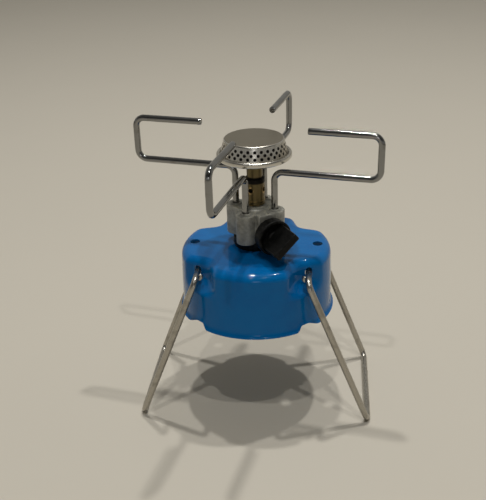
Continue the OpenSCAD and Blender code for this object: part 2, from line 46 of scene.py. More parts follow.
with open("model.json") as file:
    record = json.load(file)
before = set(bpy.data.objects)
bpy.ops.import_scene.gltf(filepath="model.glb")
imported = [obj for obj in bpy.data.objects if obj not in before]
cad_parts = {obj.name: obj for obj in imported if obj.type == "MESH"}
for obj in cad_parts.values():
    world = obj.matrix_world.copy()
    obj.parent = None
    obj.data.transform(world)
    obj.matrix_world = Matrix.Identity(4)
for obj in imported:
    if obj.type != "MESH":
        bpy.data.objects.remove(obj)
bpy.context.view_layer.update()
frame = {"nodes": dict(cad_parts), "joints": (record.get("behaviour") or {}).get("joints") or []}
JOINTS = {joint["name"]: joint for joint in frame["joints"]}
MM = 0.001
SIDES = ("right", "rear", "left", "front")
UP = np.array([0.0, 0.0, 1.0])
# Wires: arc points of a bend, greatest gap between rings, and rings over which a bend's pinch eases
BEND_STEPS = 14
WIRE_STEP = 3.0 * MM
EASE_POINTS = 5
# Radii of the cup's hole and the collar's spigot in it, as shares of the washer's radius
HOLE_SHARE = 0.75
SPIGOT_SHARE = 0.73
# Gaps that pieces run or sit with
HOOK_GAP = 0.12 * MM
THREAD_GAP = 0.05 * MM
HUB_GAP = 0.03 * MM
# Hexagon nuts: the chamfer's width as a share of how far the corners stand out, and its slope
CHAMFER_SHARE = 0.9
CHAMFER_SLOPE = 0.58
# Bend radii at which an edge counts as flat and as tight, for the worn edges
EDGE_RADII = (3.0 * MM, 0.7 * MM)
# Least cosine or sine that a distance is divided by
LEAST = 1e-6


# Settings

def length(name, millimetres, text):
    """A length property whose default is given in millimetres."""
    return bpy.props.FloatProperty(
        name=name, description=text, default=millimetres * MM, precision=5, unit="LENGTH")


def turn(name, degrees, text):
    """An angle property whose default is given in degrees."""
    return bpy.props.FloatProperty(
        name=name, description=text, default=float(np.radians(degrees)), subtype="ANGLE")


def share(name, default, text):
    """A plain number between 0 and 1."""
    return bpy.props.FloatProperty(
        name=name, description=text, default=default, min=0.0, max=1.0, subtype="FACTOR")


def power(name, watts, text):
    """A power property."""
    return bpy.props.FloatProperty(name=name, description=text, default=watts, unit="POWER")


def spot(name, x, y, z, text):
    """A place property, in metres."""
    return bpy.props.FloatVectorProperty(
        name=name, description=text, default=(x, y, z), size=3, unit="LENGTH")


def colour(name, red, green, blue, text):
    """A linear colour property."""
    return bpy.props.FloatVectorProperty(
        name=name, description=text, default=(red, green, blue, 1.0), size=4,
        min=0.0, max=1.0, subtype="COLOR")


class CupSizes(bpy.types.PropertyGroup):
    """Sizes of the pressed cup and its collar."""

    wall: length("Sheet", 0.8, "Thickness of the pressed sheet")
    draft: length("Draft", 0.4, "How much the wall narrows from the ledges up to the shoulder")
    shoulder: length("Shoulder height", 5.4, "Height of the rounded shoulder")
    crown: length("Shoulder width", 5.6, "Width over which the top curves down to the shoulder")
    lip_out: length("Lip flare", 1.6, "How far the rim flares out")
    lip_height: length("Lip height", 3.6, "Height of the flare at the rim")
    side_lobe: length("Side lobes", 24.2, "Half the width of the side lobes between the dimples")
    front_lobe: length("Front lobes", 24.0, "Half the width of the front and rear lobes")
    dimple_fillet: length("Dimple fillet", 22.0, "Blend between two lobes, inside a dimple")
    dimple_edge: length("Dimple edge", 9.0, "Blend between a dimple and the plain wall")
    ledge_height: length("Ledge height", 21.4, "Height of a dimple's ledge above the rim")
    ledge_slope: length("Ledge slope", 9.0, "Height over which a dimple's ledge runs out")
    notch_width: length("Notch width", 19.0, "Width of a rim notch")
    notch_height: length("Notch height", 3.4, "Height of a rim notch")
    notch_step: length("Notch step", 4.6, "Length of the steep step at a notch's inner end")
    notch_slope: length("Notch slope", 11.0, "Length of the gentle slope at a notch's outer end")
    lip_turn: turn("Lip turn", 74.0, "How far the lip turns out from the wall")
    notch_flat: share("Notch flare", 0.65, "Share of the lip's flare that is gone at a notch")
    notch_turn: turn("Notch angle", 44.0, "Angle of a rim notch from the X axis")
    vent_diameter: length("Vent", 6.2, "Diameter of the two vent holes")
    vent_inset: length("Vent inset", 8.6, "Distance of a vent hole from the cup's wall")
    hook_slot: length("Hook slot", 2.2, "Height of the slot above a leg's hook")
    collar_edge: length("Collar edge", 0.7, "Edge radius of the black collar")
    collar_foot: length("Collar foot", 1.5, "Height of the narrower foot of the collar")
    collar_step: length("Collar step", 0.7, "How much narrower the collar's foot is")


class WireSizes(bpy.types.PropertyGroup):
    """Sizes of the bent wire legs and pot supports."""

    leg_wire: length("Leg wire", 4.0, "Diameter of the leg wire")
    leg_bend: length("Leg bend", 5.0, "Centreline radius of a leg's bends")
    hook_tip: length("Hook tip", 19.08, "Distance of a hook's tip from the middle of its bail")
    ear_out: length("Ear place", 2.2, "Distance of the pinched ear's middle from the wire's axis")
    ear_width: length("Ear width", 3.6, "Width of the pinched ear")
    ear_length: length("Ear length", 4.6, "Length of the pinched ear along the leg")
    ear_thickness: length("Ear thickness", 2.3, "Thickness of the pinched ear")
    ear_place: length("Ear distance", 30.08, "Distance of the pinched ear from the middle of its bail")
    support_wire: length("Support wire", 4.0, "Diameter of the support wire")
    support_bend: length("Support bend", 5.5, "Centreline radius of a support's bends")
    support_height: length("Support height", 26.2, "Height of the upper run above the lower run")
    support_inner: length("Support end", 20.3, "Distance of the upper run's end from the pivot")
    support_turn: turn("Support turn", 9.5, "Turn of each support from its radius")
    end_chamfer: length("Wire end", 0.45, "Chamfer at the cut ends of the wires")
    bend_pinch: share("Bend pinch", 0.035, "How much the wire narrows where it was bent")


class BodySizes(bpy.types.PropertyGroup):
    """Sizes of the cast valve body, its neck and its nuts."""

    core: length("Core", 24.0, "Diameter of the core between the bosses")
    boss: length("Boss", 12.0, "Diameter of a pivot boss")
    fillet: length("Fillet", 2.6, "Blend between the bosses and the core")
    edge: length("Cast edge", 0.6, "Edge radius of the casting")
    land: length("Land", 16.0, "Diameter of the land under the burner tube")
    land_height: length("Land height", 2.0, "Height of the land under the burner tube")
    lip_width: length("Lip width", 1.2, "Width of the lip round each stem")
    lip_height: length("Lip height", 0.6, "Height of the lip round each stem")
    stem_gap: length("Stem gap", 0.3, "Gap round each stem in its boss")
    port: length("Port", 14.0, "Diameter of the spindle's port")
    port_reach: length("Port reach", 16.46, "Distance of the port's face from the axis")
    block: length("Block", 12.0, "Width of the block above the port")
    thread_pitch: length("Thread pitch", 2.0, "Pitch of the neck's thread")
    thread_depth: length("Thread depth", 0.7, "Depth of the neck's thread")
    neck_bore: length("Neck bore", 10.0, "Diameter of the recess for the seal")
    needle_bore: length("Needle bore", 3.26, "Diameter of the hole for the needle")
    seal_recess: length("Seal recess", 3.0, "Depth of the recess for the seal")
    stub: length("Stub", 12.0, "Diameter of the neck's stub inside the casting")
    stub_length: length("Stub length", 3.2, "Length of the neck's stub")


class KnobSizes(bpy.types.PropertyGroup):
    """Sizes of the control knob."""

    skirt: length("Skirt", 22.0, "Diameter of the knob's skirt")
    skirt_length: length("Skirt length", 7.0, "Length of the knob's skirt")
    skirt_wall: length("Skirt wall", 1.8, "Wall of the knob's skirt")
    floor: length("Floor", 3.4, "Thickness of the knob's floor")
    edge: length("Edge", 0.6, "Edge radius of the moulding")
    hub: length("Hub", 8.0, "Diameter of the hub inside the skirt")
    bore: length("Bore", 5.1, "Diameter of the spindle's hole")
    paddle_width: length("Paddle width", 18.0, "Width of the paddle")
    paddle_thickness: length("Paddle thickness", 5.6, "Thickness of the paddle")
    paddle_corner: length("Paddle corner", 1.0, "Corner radius of the paddle's section")
    paddle_hollow: length("Paddle hollow", 0.45, "Depth of the finger hollows in the paddle")
    paddle_tilt: turn("Paddle tilt", 40.0, "Tilt of the paddle from level when shut")


class BurnerSizes(bpy.types.PropertyGroup):
    """Sizes of the burner's sleeve, tube and dish."""

    sleeve_bore: length("Sleeve bore", 9.66, "Bore of the air sleeve")
    air_hole: length("Air hole", 3.0, "Diameter of an air hole")
    air_rise: length("Air hole height", 9.8, "Height of the air holes above the sleeve's foot")
    bead_rise: length("Bead height", 2.9, "Height of the bead above the sleeve's foot")
    bead: length("Bead", 0.7, "Height of the bead round the sleeve")
    sheet: length("Burner sheet", 0.7, "Thickness of the burner's sheet")
    roll: length("Rolled rim", 2.2, "Thickness of the rolled rim")
    roll_height: length("Rim height", 3.3, "Height of the rolled rim")
    dish_hub: length("Dish hub", 2.6, "Length of the dish's hub")
    seat_width: length("Seat", 2.6, "Width of the flat seat inside the rim")


class Finishes(bpy.types.PropertyGroup):
    """Colours of the stove's finishes."""

    enamel: colour("Enamel", 0.0, 0.130, 0.372, "Blue of the cup")
    enamel_deep: colour("Deep enamel", 0.0, 0.113, 0.340, "Blue where the enamel lies thick")
    plastic: colour("Plastic", 0.0022, 0.0023, 0.0022, "Black of the knob and collar")
    chrome: colour("Plating", 0.275, 0.274, 0.267, "Bright plating of the pot supports")
    steel: colour("Leg steel", 0.44, 0.415, 0.365, "Drawn steel of the legs")
    zinc: colour("Casting", 0.385, 0.376, 0.32, "Cast zinc of the valve body")
    brass: colour("Brass", 0.66, 0.45, 0.19, "Clean brass")
    patina: colour("Patina", 0.135, 0.106, 0.048, "Brass browned by heat")
    burner: colour("Burner steel", 0.62, 0.60, 0.55, "Pressed steel of the burner")
    burner_heat: colour("Heat tint", 0.36, 0.315, 0.24, "Steel browned by the flame")
    floor: colour("Floor", 0.60, 0.553, 0.462, "Pale floor under the stove")
    enamel_thin: colour("Thin enamel", 0.02, 0.20, 0.52, "Blue at edges, where the enamel is thin")
    plastic_pale: colour("Pale plastic", 0.0045, 0.0046, 0.0044, "Paler patches of the plastic")
    plastic_rubbed: colour("Rubbed plastic", 0.024, 0.024, 0.022, "Rubbed edges of the plastic")
    chrome_dull: colour("Dull plating", 0.20, 0.19, 0.175, "Handling marks on the pot supports")
    steel_dull: colour("Dull steel", 0.27, 0.25, 0.215, "Handling marks on the legs")
    zinc_mottle: colour("Mottled zinc", 0.26, 0.256, 0.225, "Darker mottles of the casting")
    zinc_stain: colour("Stained zinc", 0.15, 0.145, 0.125, "Stains on the casting")
    zinc_rubbed: colour("Rubbed zinc", 0.58, 0.565, 0.50, "Rubbed edges of the casting")
    # Pale dust on the casting's upward faces, laid on thick so that it also paints light on the top
    zinc_dust_and_top_light: colour("Casting dust", 0.66, 0.63, 0.50, "Pale dust on top of the casting")
    patina_bloom: colour("Patina bloom", 0.165, 0.125, 0.060, "Paler bloom on the browned brass")
    # Darker than the burner steel: partly the crown's own satin tone, partly painted shade on the cap's
    # top
    burner_crown_shaded: colour("Burner crown", 0.20, 0.17, 0.115, "Top of the burner's cap")
    gauze: colour("Gauze", 0.035, 0.030, 0.026, "Paler grain of the gauze")
    plated: colour("Plated steel", 0.60, 0.59, 0.55, "Zinc-plated steel")
    plated_bloom: colour("Plating bloom", 0.46, 0.45, 0.43, "Bloom on the plated steel")
    bronze: colour("Bronze", 0.40, 0.24, 0.10, "Grains of the sintered bronze")
    bronze_pore: colour("Bronze pores", 0.09, 0.055, 0.025, "Pores of the sintered bronze")
    rubber: colour("Rubber", 0.012, 0.012, 0.012, "Black rubber")
    rubber_bloom: colour("Rubber bloom", 0.026, 0.025, 0.024, "Bloom on the rubber")
    dust: colour("Dust", 0.42, 0.40, 0.36, "Settled dust")
    bare_steel: colour("Bare steel", 0.16, 0.15, 0.14, "Steel where the enamel is chipped")
    # Soot black also paints the shade band where the sleeve meets the tube
    soot: colour("Soot", 0.016, 0.014, 0.012, "Soot and black oxide")


class StageSizes(bpy.types.PropertyGroup):
    """Camera and light."""

    eye: spot("Camera", 0.043561, -0.480018, 0.337217, "Place of the camera")
    yaw: turn("Yaw", -6.616, "Turn of the view from +Y towards +X")
    pitch: turn("Pitch", -27.631, "Rise of the view above level")
    roll: turn("Roll", -1.838, "Roll of the view")
    lens: bpy.props.FloatProperty(
        name="Lens", description="Focal length in millimetres", default=61.42)
    shift: bpy.props.FloatVectorProperty(
        name="Shift", description="Shift of the frame, as shares of its longer side", size=2,
        default=(0.0105, 0.0495))
    lamp_height: length("Lamp height", 1900.0, "Height of the lamps above the floor")
    lamp_side: length("Lamp side", 120.0, "Distance of the lamps' middle from the stove's axis, along X")
    lamp_front: length("Lamp front", 235.0, "Distance of the lamps' middle in front of the stove's axis")
    lamp_spread: length("Lamp spread", 240.0, "Distance of a lamp from the lamps' middle, along X")
    lamp_rows: length("Lamp rows", 565.0, "Distance of a row of lamps from the lamps' middle, along Y")
    lamp_size: length("Lamp size", 70.0, "Diameter of a rear lamp")
    lamp_power: power("Lamp power", 9.0, "Power of each rear lamp")
    lamp_target: spot("Lamp target", 0.0, 0.0, 0.1, "Place that every lamp is aimed at")
    front_share: share("Front lamps", 0.72, "Diameter of a front lamp, as a share of a rear one")
    fill_size: length("Soft box", 1400.0, "Diameter of the overhead soft box")
    fill_back: length("Soft box place", 350.0, "Distance of the soft box behind the stove's axis")
    fill_power: power("Soft box power", 1.0, "Power of the soft box")
    front_size: length("Front box", 420.0, "Diameter of the low soft box behind the camera")
    front_place: spot("Front box place", 0.15, -2.0, 0.72, "Place of the front box")
    front_power: power("Front power", 1.45, "Power of the front box")
    floor_radius: length("Floor", 6000.0, "Radius of the floor")
    room: colour("Room", 0.04, 0.039, 0.037, "Dark room behind the camera")
    horizon: colour("Horizon", 0.30, 0.294, 0.278, "Pale horizon behind the camera")
    wall: colour("Wall", 0.36, 0.35, 0.32, "Pale wall behind the stove")
    ceiling: colour("Ceiling", 0.12, 0.117, 0.11, "Ceiling over the stove")


# Frame

def corners(node):
    """Lowest and highest corner of a solid, as two arrays."""
    low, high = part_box(node)
    return np.array(low), np.array(high)


def read(items, key, width, kind=float):
    """One value of each of a mesh's items, as the rows of an array."""
    values = np.empty(len(items) * width, kind)
    items.foreach_get(key, values)
    return values.reshape(-1, width)


def node_points(node):
    """Every corner point of a solid's mesh, as one array."""
    return read(frame["nodes"][node].data.vertices, "co", 3)


def joint_place(name):
    """Place of a joint at rest."""
    return np.array(JOINTS[name]["pos_m"], float)


def knob_frame():
    """The knob's place on the stove's axis, and axes of which the first points down and the third
    along the knob."""
    axis = np.array(JOINTS["knob_turn"]["axis"], float)
    down = np.array([0.0, 0.0, -1.0])
    return joint_place("knob_turn") * [0.0, 0.0, 1.0], np.stack([down, np.cross(axis, down), axis])


# Surfaces

def unit(vectors):
    """Vectors divided by their own lengths."""
    return vectors / np.linalg.norm(vectors, axis=-1, keepdims=True)


def smooth_step(x):
    """0 below 0, 1 above 1, and 3x squared minus 2x cubed between."""
    x = np.clip(x, 0.0, 1.0)
    return x * x * (3.0 - 2.0 * x)


def smooth_min(a, b, blend):
    """The lesser of two values, rounded by a parabola where they differ by less than blend."""
    near = np.clip(blend - np.abs(a - b), 0.0, None) / blend
    return np.minimum(a, b) - near * near * blend / 4.0


def smooth_max(a, b, blend):
    """The greater of two values, rounded in the same way."""
    return -smooth_min(-a, -b, blend)


def circle(count):
    """Evenly spaced angles once round, without the last."""
    return np.linspace(0.0, 2.0 * np.pi, count, endpoint=False)


def turn_from(angle, heading):
    """The turn from a heading to each angle, between minus and plus half a turn."""
    return (angle - heading + np.pi) % (2.0 * np.pi) - np.pi


def around(radius, height, angle):
    """Points at a radius, a height and an angle about the Z axis."""
    x = radius * np.cos(angle)
    y = radius * np.sin(angle)
    return np.stack([x, y, np.broadcast_to(height, x.shape)], -1)


def fillet(before, corner, after, radius, steps):
    """An arc that turns a corner: it swings evenly from one touching point to the other."""
    back = unit(before - corner)
    ahead = unit(after - corner)
    opening = np.arccos(np.clip(back @ ahead, -1.0, 1.0))
    if radius == 0.0 or opening > np.pi - 1e-4:
        return corner[None]
    centre = corner + unit(back + ahead) * radius / np.sin(opening / 2.0)
    reach = radius / np.tan(opening / 2.0)
    swing = np.pi - opening
    u = np.linspace(0.0, 1.0, steps)[:, None]
    start = corner + back * reach - centre
    end = corner + ahead * reach - centre
    return centre + (np.sin((1.0 - u) * swing) * start + np.sin(u * swing) * end) / np.sin(swing)


def rounded(points, radii, steps=6, closed=False):
    """A line through flat points, with each corner turned into an arc of its radius."""
    points = np.asarray(points, float)
    radii = np.broadcast_to(radii, len(points))
    count = len(points)
    inner = range(count) if closed else range(1, count - 1)
    arcs = [fillet(points[i - 1], points[i], points[(i + 1) % count], radii[i], steps) for i in inner]
    if not closed:
        arcs = [points[:1], *arcs, points[-1:]]
    return np.concatenate(arcs)


def spaced(line, gap):
    """A line with points added evenly on each stretch that is longer than gap."""
    lengths = np.linalg.norm(np.diff(line, axis=0), axis=1)
    counts = np.maximum(np.ceil(lengths / gap).astype(int), 1)
    parts = [np.linspace(a, b, n, endpoint=False) for a, b, n in zip(line, line[1:], counts)]
    return np.concatenate([*parts, line[-1:]])


def turned(profile, turns=96, place=(0.0, 0.0, 0.0), axes=np.eye(3)):
    """A profile of (radius, height) turned about an axis: place plus radius times the first two
    axes' (cos, sin) plus height times the third axis."""
    local = around(profile[:, 0, None], profile[:, 1, None], circle(turns))
    return np.asarray(place) + local @ np.asarray(axes)


def plug(radius, low, high, mouth=None):
    """Profile of a closed cylinder, or of a cone that ends with another radius, to be turned."""
    return np.array([(0.0, low), (radius, low), (mouth or radius, high), (0.0, high)])


def prism(outline, low, high, place, axes):
    """A flat outline carried straight along the third axis, with both ends closed to a middle point."""
    middle = np.broadcast_to(outline.mean(0), outline.shape)
    rows = np.stack([middle, outline, outline, middle])
    heights = np.broadcast_to(np.array([low, low, high, high])[:, None, None], (4, len(outline), 1))
    return np.asarray(place) + np.concatenate([rows, heights], -1) @ np.asarray(axes)


def round_wire(path, binormal, radius, chamfer, sides=32):
    """A round wire along a flat path: each ring is the path's point plus radius times
    (cos a times the normal + sin a times the binormal), and both ends are chamfered and closed."""
    tangent = unit(np.gradient(path, axis=0))
    radius = np.broadcast_to(radius, len(path))
    start = path[0] + tangent[0] * chamfer * np.array([[0.0], [0.0], [0.3], [1.0]])
    end = path[-1] - tangent[-1] * chamfer * np.array([[1.0], [0.3], [0.0], [0.0]])
    cut = np.array([-1.0, -chamfer / radius[0], -0.3 * chamfer / radius[0], 0.0])
    points = np.concatenate([start, path[1:-1], end])
    tangent = np.concatenate([tangent[[0] * 4], tangent[1:-1], tangent[[-1] * 4]])
    radius = np.concatenate([radius[0] * (1.0 + cut), radius[1:-1], radius[-1] * (1.0 + cut[::-1])])
    normal = np.cross(binormal, tangent)
    angle = circle(sides)[:, None]
    across = np.cos(angle) * normal[:, None] + np.sin(angle) * binormal
    along = np.concatenate([[0.0], np.cumsum(np.linalg.norm(np.diff(points, axis=0), axis=1))])
    flow = np.empty((len(points), sides, 3))
    flow[..., 0] = np.cos(angle[:, 0])
    flow[..., 1] = np.sin(angle[:, 0])
    flow[..., 2] = along[:, None]
    return points[:, None] + radius[:, None, None] * across, flow


def bend_narrowing(path, radius, pinch, bend):
    """Radius along a wire, less by a share where the path bends, eased over a few points."""
    tangent = unit(np.gradient(path, axis=0))
    step = np.linalg.norm(np.gradient(path, axis=0), axis=1)
    curve = np.linalg.norm(np.gradient(tangent, axis=0), axis=1) / step
    bent = np.pad(np.clip(curve * bend, 0.0, 1.0), EASE_POINTS // 2, mode="edge")
    eased = np.convolve(bent, np.ones(EASE_POINTS) / EASE_POINTS, "valid")
    return radius * (1.0 - pinch * eased)


def bent_wire(points, bend, radius, sizes, place, across, along):
    """A round wire through flat corner points, which are laid at a place along two directions."""
    flat = spaced(rounded(points, bend, steps=BEND_STEPS), WIRE_STEP)
    path = place + flat[:, :1] * across + flat[:, 1:] * along
    narrowed = bend_narrowing(path, radius, sizes.bend_pinch, bend)
    return round_wire(path, unit(np.cross(across, along)), narrowed, sizes.end_chamfer)


def sheet_normals(points):
    """Unit normals of a grid that closes round its columns: rows' direction crossed with columns'."""
    down = np.gradient(points, axis=0)
    across = np.roll(points, -1, 1) - np.roll(points, 1, 1)
    return unit(np.cross(down, across))


def quads(rows, columns, wrap_rows):
    """Corner numbers of the four-sided faces of a grid whose columns, and rows if wanted, join up."""
    steps = rows if wrap_rows else rows - 1
    row, column = np.meshgrid(np.arange(steps), np.arange(columns), indexing="ij")
    next_row = (row + 1) % rows
    next_column = (column + 1) % columns
    ring = [row * columns + column, row * columns + next_column,
            next_row * columns + next_column, next_row * columns + column]
    return np.stack(ring, -1).reshape(-1, 4)


# Meshes

def grid_mesh(name, patches, flow=None):
    """One mesh from grids of points. A patch is (points, whether its rows join end to end)."""
    points = np.concatenate([patch.reshape(-1, 3) for patch, _ in patches])
    starts = np.cumsum([0] + [patch.shape[0] * patch.shape[1] for patch, _ in patches])
    faces = np.concatenate([quads(*patch.shape[:2], wrap) + start
                            for (patch, wrap), start in zip(patches, starts)])
    mesh = bpy.data.meshes.new(name)
    mesh.vertices.add(len(points))
    mesh.vertices.foreach_set("co", points.ravel())
    mesh.loops.add(faces.size)
    mesh.loops.foreach_set("vertex_index", faces.ravel().astype(np.int32))
    mesh.polygons.add(len(faces))
    mesh.polygons.foreach_set("loop_start", np.arange(0, faces.size, 4, dtype=np.int32))
    mesh.update(calc_edges=True)
    if flow is not None:
        spare = np.zeros((len(points) - flow.size // 3, 3))
        values = np.concatenate([flow.reshape(-1, 3), spare])
        mesh.attributes.new("flow", "FLOAT_VECTOR", "POINT").data.foreach_set("vector", values.ravel())
    close_up(mesh)
    return mesh


def close_up(mesh, *others):
    """Merges the doubled points at poles and seams, adds other meshes and turns all faces outwards."""
    model = bmesh.new()
    for part in (mesh, *others):
        model.from_mesh(part)
    bmesh.ops.remove_doubles(model, verts=model.verts, dist=1e-6)
    bmesh.ops.dissolve_degenerate(model, dist=1e-7, edges=model.edges)
    bmesh.ops.recalc_face_normals(model, faces=model.faces)
    model.to_mesh(mesh)
    model.free()


def cut(context, mesh, tool):
    """The mesh less the closed forms in another mesh, by Blender's exact Boolean."""
    body = bpy.data.objects.new("cut_body", mesh)
    cutter = bpy.data.objects.new("cut_tool", tool)
    for made in (body, cutter):
        context.scene.collection.objects.link(made)
    change = body.modifiers.new("cut", "BOOLEAN")
    change.object = cutter
    change.solver = "EXACT"
    result = bpy.data.meshes.new_from_object(body.evaluated_get(context.evaluated_depsgraph_get()))
    for made in (body, cutter):
        bpy.data.objects.remove(made)
    if len(result.polygons) == 0:
        raise RuntimeError("the cut left nothing of " + mesh.name)
    result.name = mesh.name
    return result


def mark_edges(mesh):
    """Attribute "edge": 0 on flat stretches to 1 on tight outer edges. It is the greatest bend of
    the normals along a point's own edges, (change of normal · change of place) / distance squared."""
    places = read(mesh.vertices, "co", 3)
    normals = read(mesh.vertex_normals, "vector", 3)
    first, second = read(mesh.edges, "vertices", 2, np.int32).T
    step = places[second] - places[first]
    bend = np.einsum("ij,ij->i", normals[second] - normals[first], step)
    bend /= np.maximum(np.einsum("ij,ij->i", step, step), 1e-12)
    worst = np.zeros(len(mesh.vertices))
    np.maximum.at(worst, first, bend)
    np.maximum.at(worst, second, bend)
    flat, tight = (1.0 / radius for radius in EDGE_RADII)
    mask = smooth_step((worst - flat) / (tight - flat))
    mesh.attributes.new("edge", "FLOAT", "POINT").data.foreach_set("value", mask)


def add_piece(context, name, mesh, slot, body, *replaced, crease=40.0):
    """Links a finished mesh as a piece that rides on a body and stands for some solids."""
    mesh.shade_smooth()
    mesh.set_sharp_from_angle(angle=float(np.radians(crease)))
    mark_edges(mesh)
    mesh.materials.clear()
    mesh.materials.append(MATERIALS[slot](context.scene.stove_finishes))
    piece = bpy.data.objects.new(name, mesh)
    context.scene.collection.objects.link(piece)
    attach(piece, body)
    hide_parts(*replaced)


# Shader nodes

def connect(tree, node, inputs):
    """Sets or links a node's inputs, by name or number."""
    for key, value in inputs.items():
        if isinstance(value, bpy.types.NodeSocket):
            tree.links.new(value, node.inputs[key])
        else:
            node.inputs[key].default_value = value


def put(tree, kind, inputs=None, **settings):
    """A new node with its settings made and its inputs set or linked."""
    made = tree.nodes.new(kind)
    for key, value in settings.items():
        setattr(made, key, value)
    connect(tree, made, inputs or {})
    return made


def fit(tree, value, low, high, to_low=0.0, to_high=1.0):
    """A value carried smoothly from one range to another."""
    inputs = {"Value": value, "From Min": low, "From Max": high, "To Min": to_low, "To Max": to_high}
    return put(tree, "ShaderNodeMapRange", inputs, interpolation_type="SMOOTHSTEP").outputs[0]


def sums(tree, operation, first, second=0.0):
    """Arithmetic on two values."""
    return put(tree, "ShaderNodeMath", {0: first, 1: second}, operation=operation).outputs[0]


def times(tree, first, second):
    """The product of two values."""
    return sums(tree, "MULTIPLY", first, second)


def plus(tree, first, second):
    """The sum of two values."""
    return sums(tree, "ADD", first, second)


def mixed(tree, mask, first, second):
    """One colour where the mask is 0, and another where it is 1."""
    made = put(tree, "ShaderNodeMix", {0: mask, 6: first, 7: second}, data_type="RGBA")
    return made.outputs[2]


def noise(tree, vector, scale, detail=3.0, rough=0.55):
    """Cloudy noise between 0 and 1."""
    inputs = {"Vector": vector, "Scale": scale, "Detail": detail, "Roughness": rough}
    return put(tree, "ShaderNodeTexNoise", inputs).outputs[0]


def object_place(tree):
    """Object coordinates, in metres."""
    return put(tree, "ShaderNodeTexCoord").outputs["Object"]


def split(tree, vector):
    """The three parts of a vector."""
    return put(tree, "ShaderNodeSeparateXYZ", {0: vector}).outputs


def height_band(tree, low, high):
    """0 at one height and 1 at another, in metres along Z."""
    return fit(tree, split(tree, object_place(tree))[2], low, high)


def bumped(tree, height, strength, distance):
    """A normal bent by a height."""
    inputs = {"Height": height, "Strength": strength, "Distance": distance}
    return put(tree, "ShaderNodeBump", inputs).outputs[0]


def grouped(into, name, inputs, outputs, fill, values):
    """Outputs of a node group that is placed in a tree with its own values. The group has number
    inputs and value outputs, and is built the first time that it is asked for."""
    tree = bpy.data.node_groups.get(name)
    if tree is None:
        tree = bpy.data.node_groups.new(name, "ShaderNodeTree")
        for key, value in inputs.items():
            socket = tree.interface.new_socket(key, in_out="INPUT", socket_type="NodeSocketFloat")
            socket.default_value = value
        for key in outputs:
            tree.interface.new_socket(key, in_out="OUTPUT", socket_type="NodeSocketFloat")
        given = tree.nodes.new("NodeGroupInput").outputs
        result = tree.nodes.new("NodeGroupOutput")
        connect(tree, result, fill(tree, given))
    return put(into, "ShaderNodeGroup", values, node_tree=tree).outputs


def worn_edges(into, **values):
    """Mask of the outer edges, broken up by noise."""
    def fill(tree, given):
        edge = put(tree, "ShaderNodeAttribute", attribute_name="edge").outputs["Fac"]
        patchy = noise(tree, object_place(tree), given["Scale"], 4.0)
        worn = times(tree, edge, fit(tree, patchy, 0.35, 0.7))
        return {"Mask": times(tree, worn, given["Amount"])}
    return grouped(into, "Worn edges", {"Amount": 1.0, "Scale": 400.0}, ["Mask"], fill, values)["Mask"]


def patches(into, **values):
    """Mask of soft patches: noise pushed towards 0 and 1."""
    def fill(tree, given):
        cloud = noise(tree, object_place(tree), given["Scale"], 5.0, 0.6)
        return {"Mask": fit(tree, cloud, given["From"], given["To"])}
    defaults = {"Scale": 60.0, "From": 0.4, "To": 0.6}
    return grouped(into, "Patches", defaults, ["Mask"], fill, values)["Mask"]


def grain(into, **values):
    """Height of a fine grain: two sizes of noise, the finer at half weight."""
    def fill(tree, given):
        place = object_place(tree)
        coarse = noise(tree, place, given["Scale"], 2.0)
        finer = noise(tree, place, times(tree, given["Scale"], 3.1), 2.0)
        return {"Height": plus(tree, coarse, times(tree, finer, 0.5))}
    return grouped(into, "Grain", {"Scale": 1500.0}, ["Height"], fill, values)["Height"]


def drawn_lines(into, **values):
    """Fine lines along a wire: noise on the wire's own place, stretched along it, and slow ripples."""
    def fill(tree, given):
        flow = put(tree, "ShaderNodeAttribute", attribute_name="flow").outputs["Vector"]
        parts = split(tree, flow)
        along = times(tree, parts[2], given["Stretch"])
        place = put(tree, "ShaderNodeCombineXYZ", {0: parts[0], 1: parts[1], 2: along}).outputs[0]
        lines = noise(tree, place, given["Scale"], 3.0)
        ripple = noise(tree, place, times(tree, given["Scale"], 0.12), 1.0)
        return {"Lines": lines, "Ripple": ripple}
    defaults = {"Scale": 14.0, "Stretch": 20.0}
    return grouped(into, "Drawn lines", defaults, ["Lines", "Ripple"], fill, values)


def turned_lines(into, **values):
    """Fine rings about the burner's axis: noise on distance from the axis and height."""
    def fill(tree, given):
        parts = split(tree, object_place(tree))
        squares = plus(tree, sums(tree, "POWER", parts[0], 2.0), sums(tree, "POWER", parts[1], 2.0))
        radius = sums(tree, "SQRT", squares)
        place = put(tree, "ShaderNodeCombineXYZ", {0: radius, 1: parts[2]}).outputs[0]
        return {"Height": noise(tree, place, given["Scale"], 2.0)}
    return grouped(into, "Turned lines", {"Scale": 2500.0}, ["Height"], fill, values)["Height"]


def settled_dust(into, **values):
    """Mask of upward faces, the normal's rise times noise: settled dust, and on the casting also painted
    light on the top.
    """
    def fill(tree, given):
        rise = split(tree, put(tree, "ShaderNodeTexCoord").outputs["Normal"])[2]
        speck = noise(tree, object_place(tree), given["Scale"], 6.0, 0.7)
        lying = times(tree, fit(tree, rise, 0.5, 1.0), fit(tree, speck, 0.45, 0.75))
        return {"Mask": times(tree, lying, given["Amount"])}
    return grouped(into, "Settled dust", {"Amount": 0.2, "Scale": 300.0}, ["Mask"], fill, values)["Mask"]


# Finishes

MATERIALS = {}


def new_material(name):
    """A material with an empty tree and its Principled shader, linked to the output."""
    material = bpy.data.materials.new(name)
    material.use_nodes = True
    tree = material.node_tree
    tree.nodes.clear()
    shader = put(tree, "ShaderNodeBsdfPrincipled")
    put(tree, "ShaderNodeOutputMaterial", {"Surface": shader.outputs[0]})
    return material, tree, shader


def finish(build):
    """Lists a finish under the name of the function that gives its shader inputs. The material is
    made the first time that it is asked for."""
    def made(colours):
        name = "finish_" + build.__name__
        if name in bpy.data.materials:
            return bpy.data.materials[name]
        material, tree, shader = new_material(name)
        connect(tree, shader, build(tree, colours))
        return material
    MATERIALS[build.__name__] = made
    return made


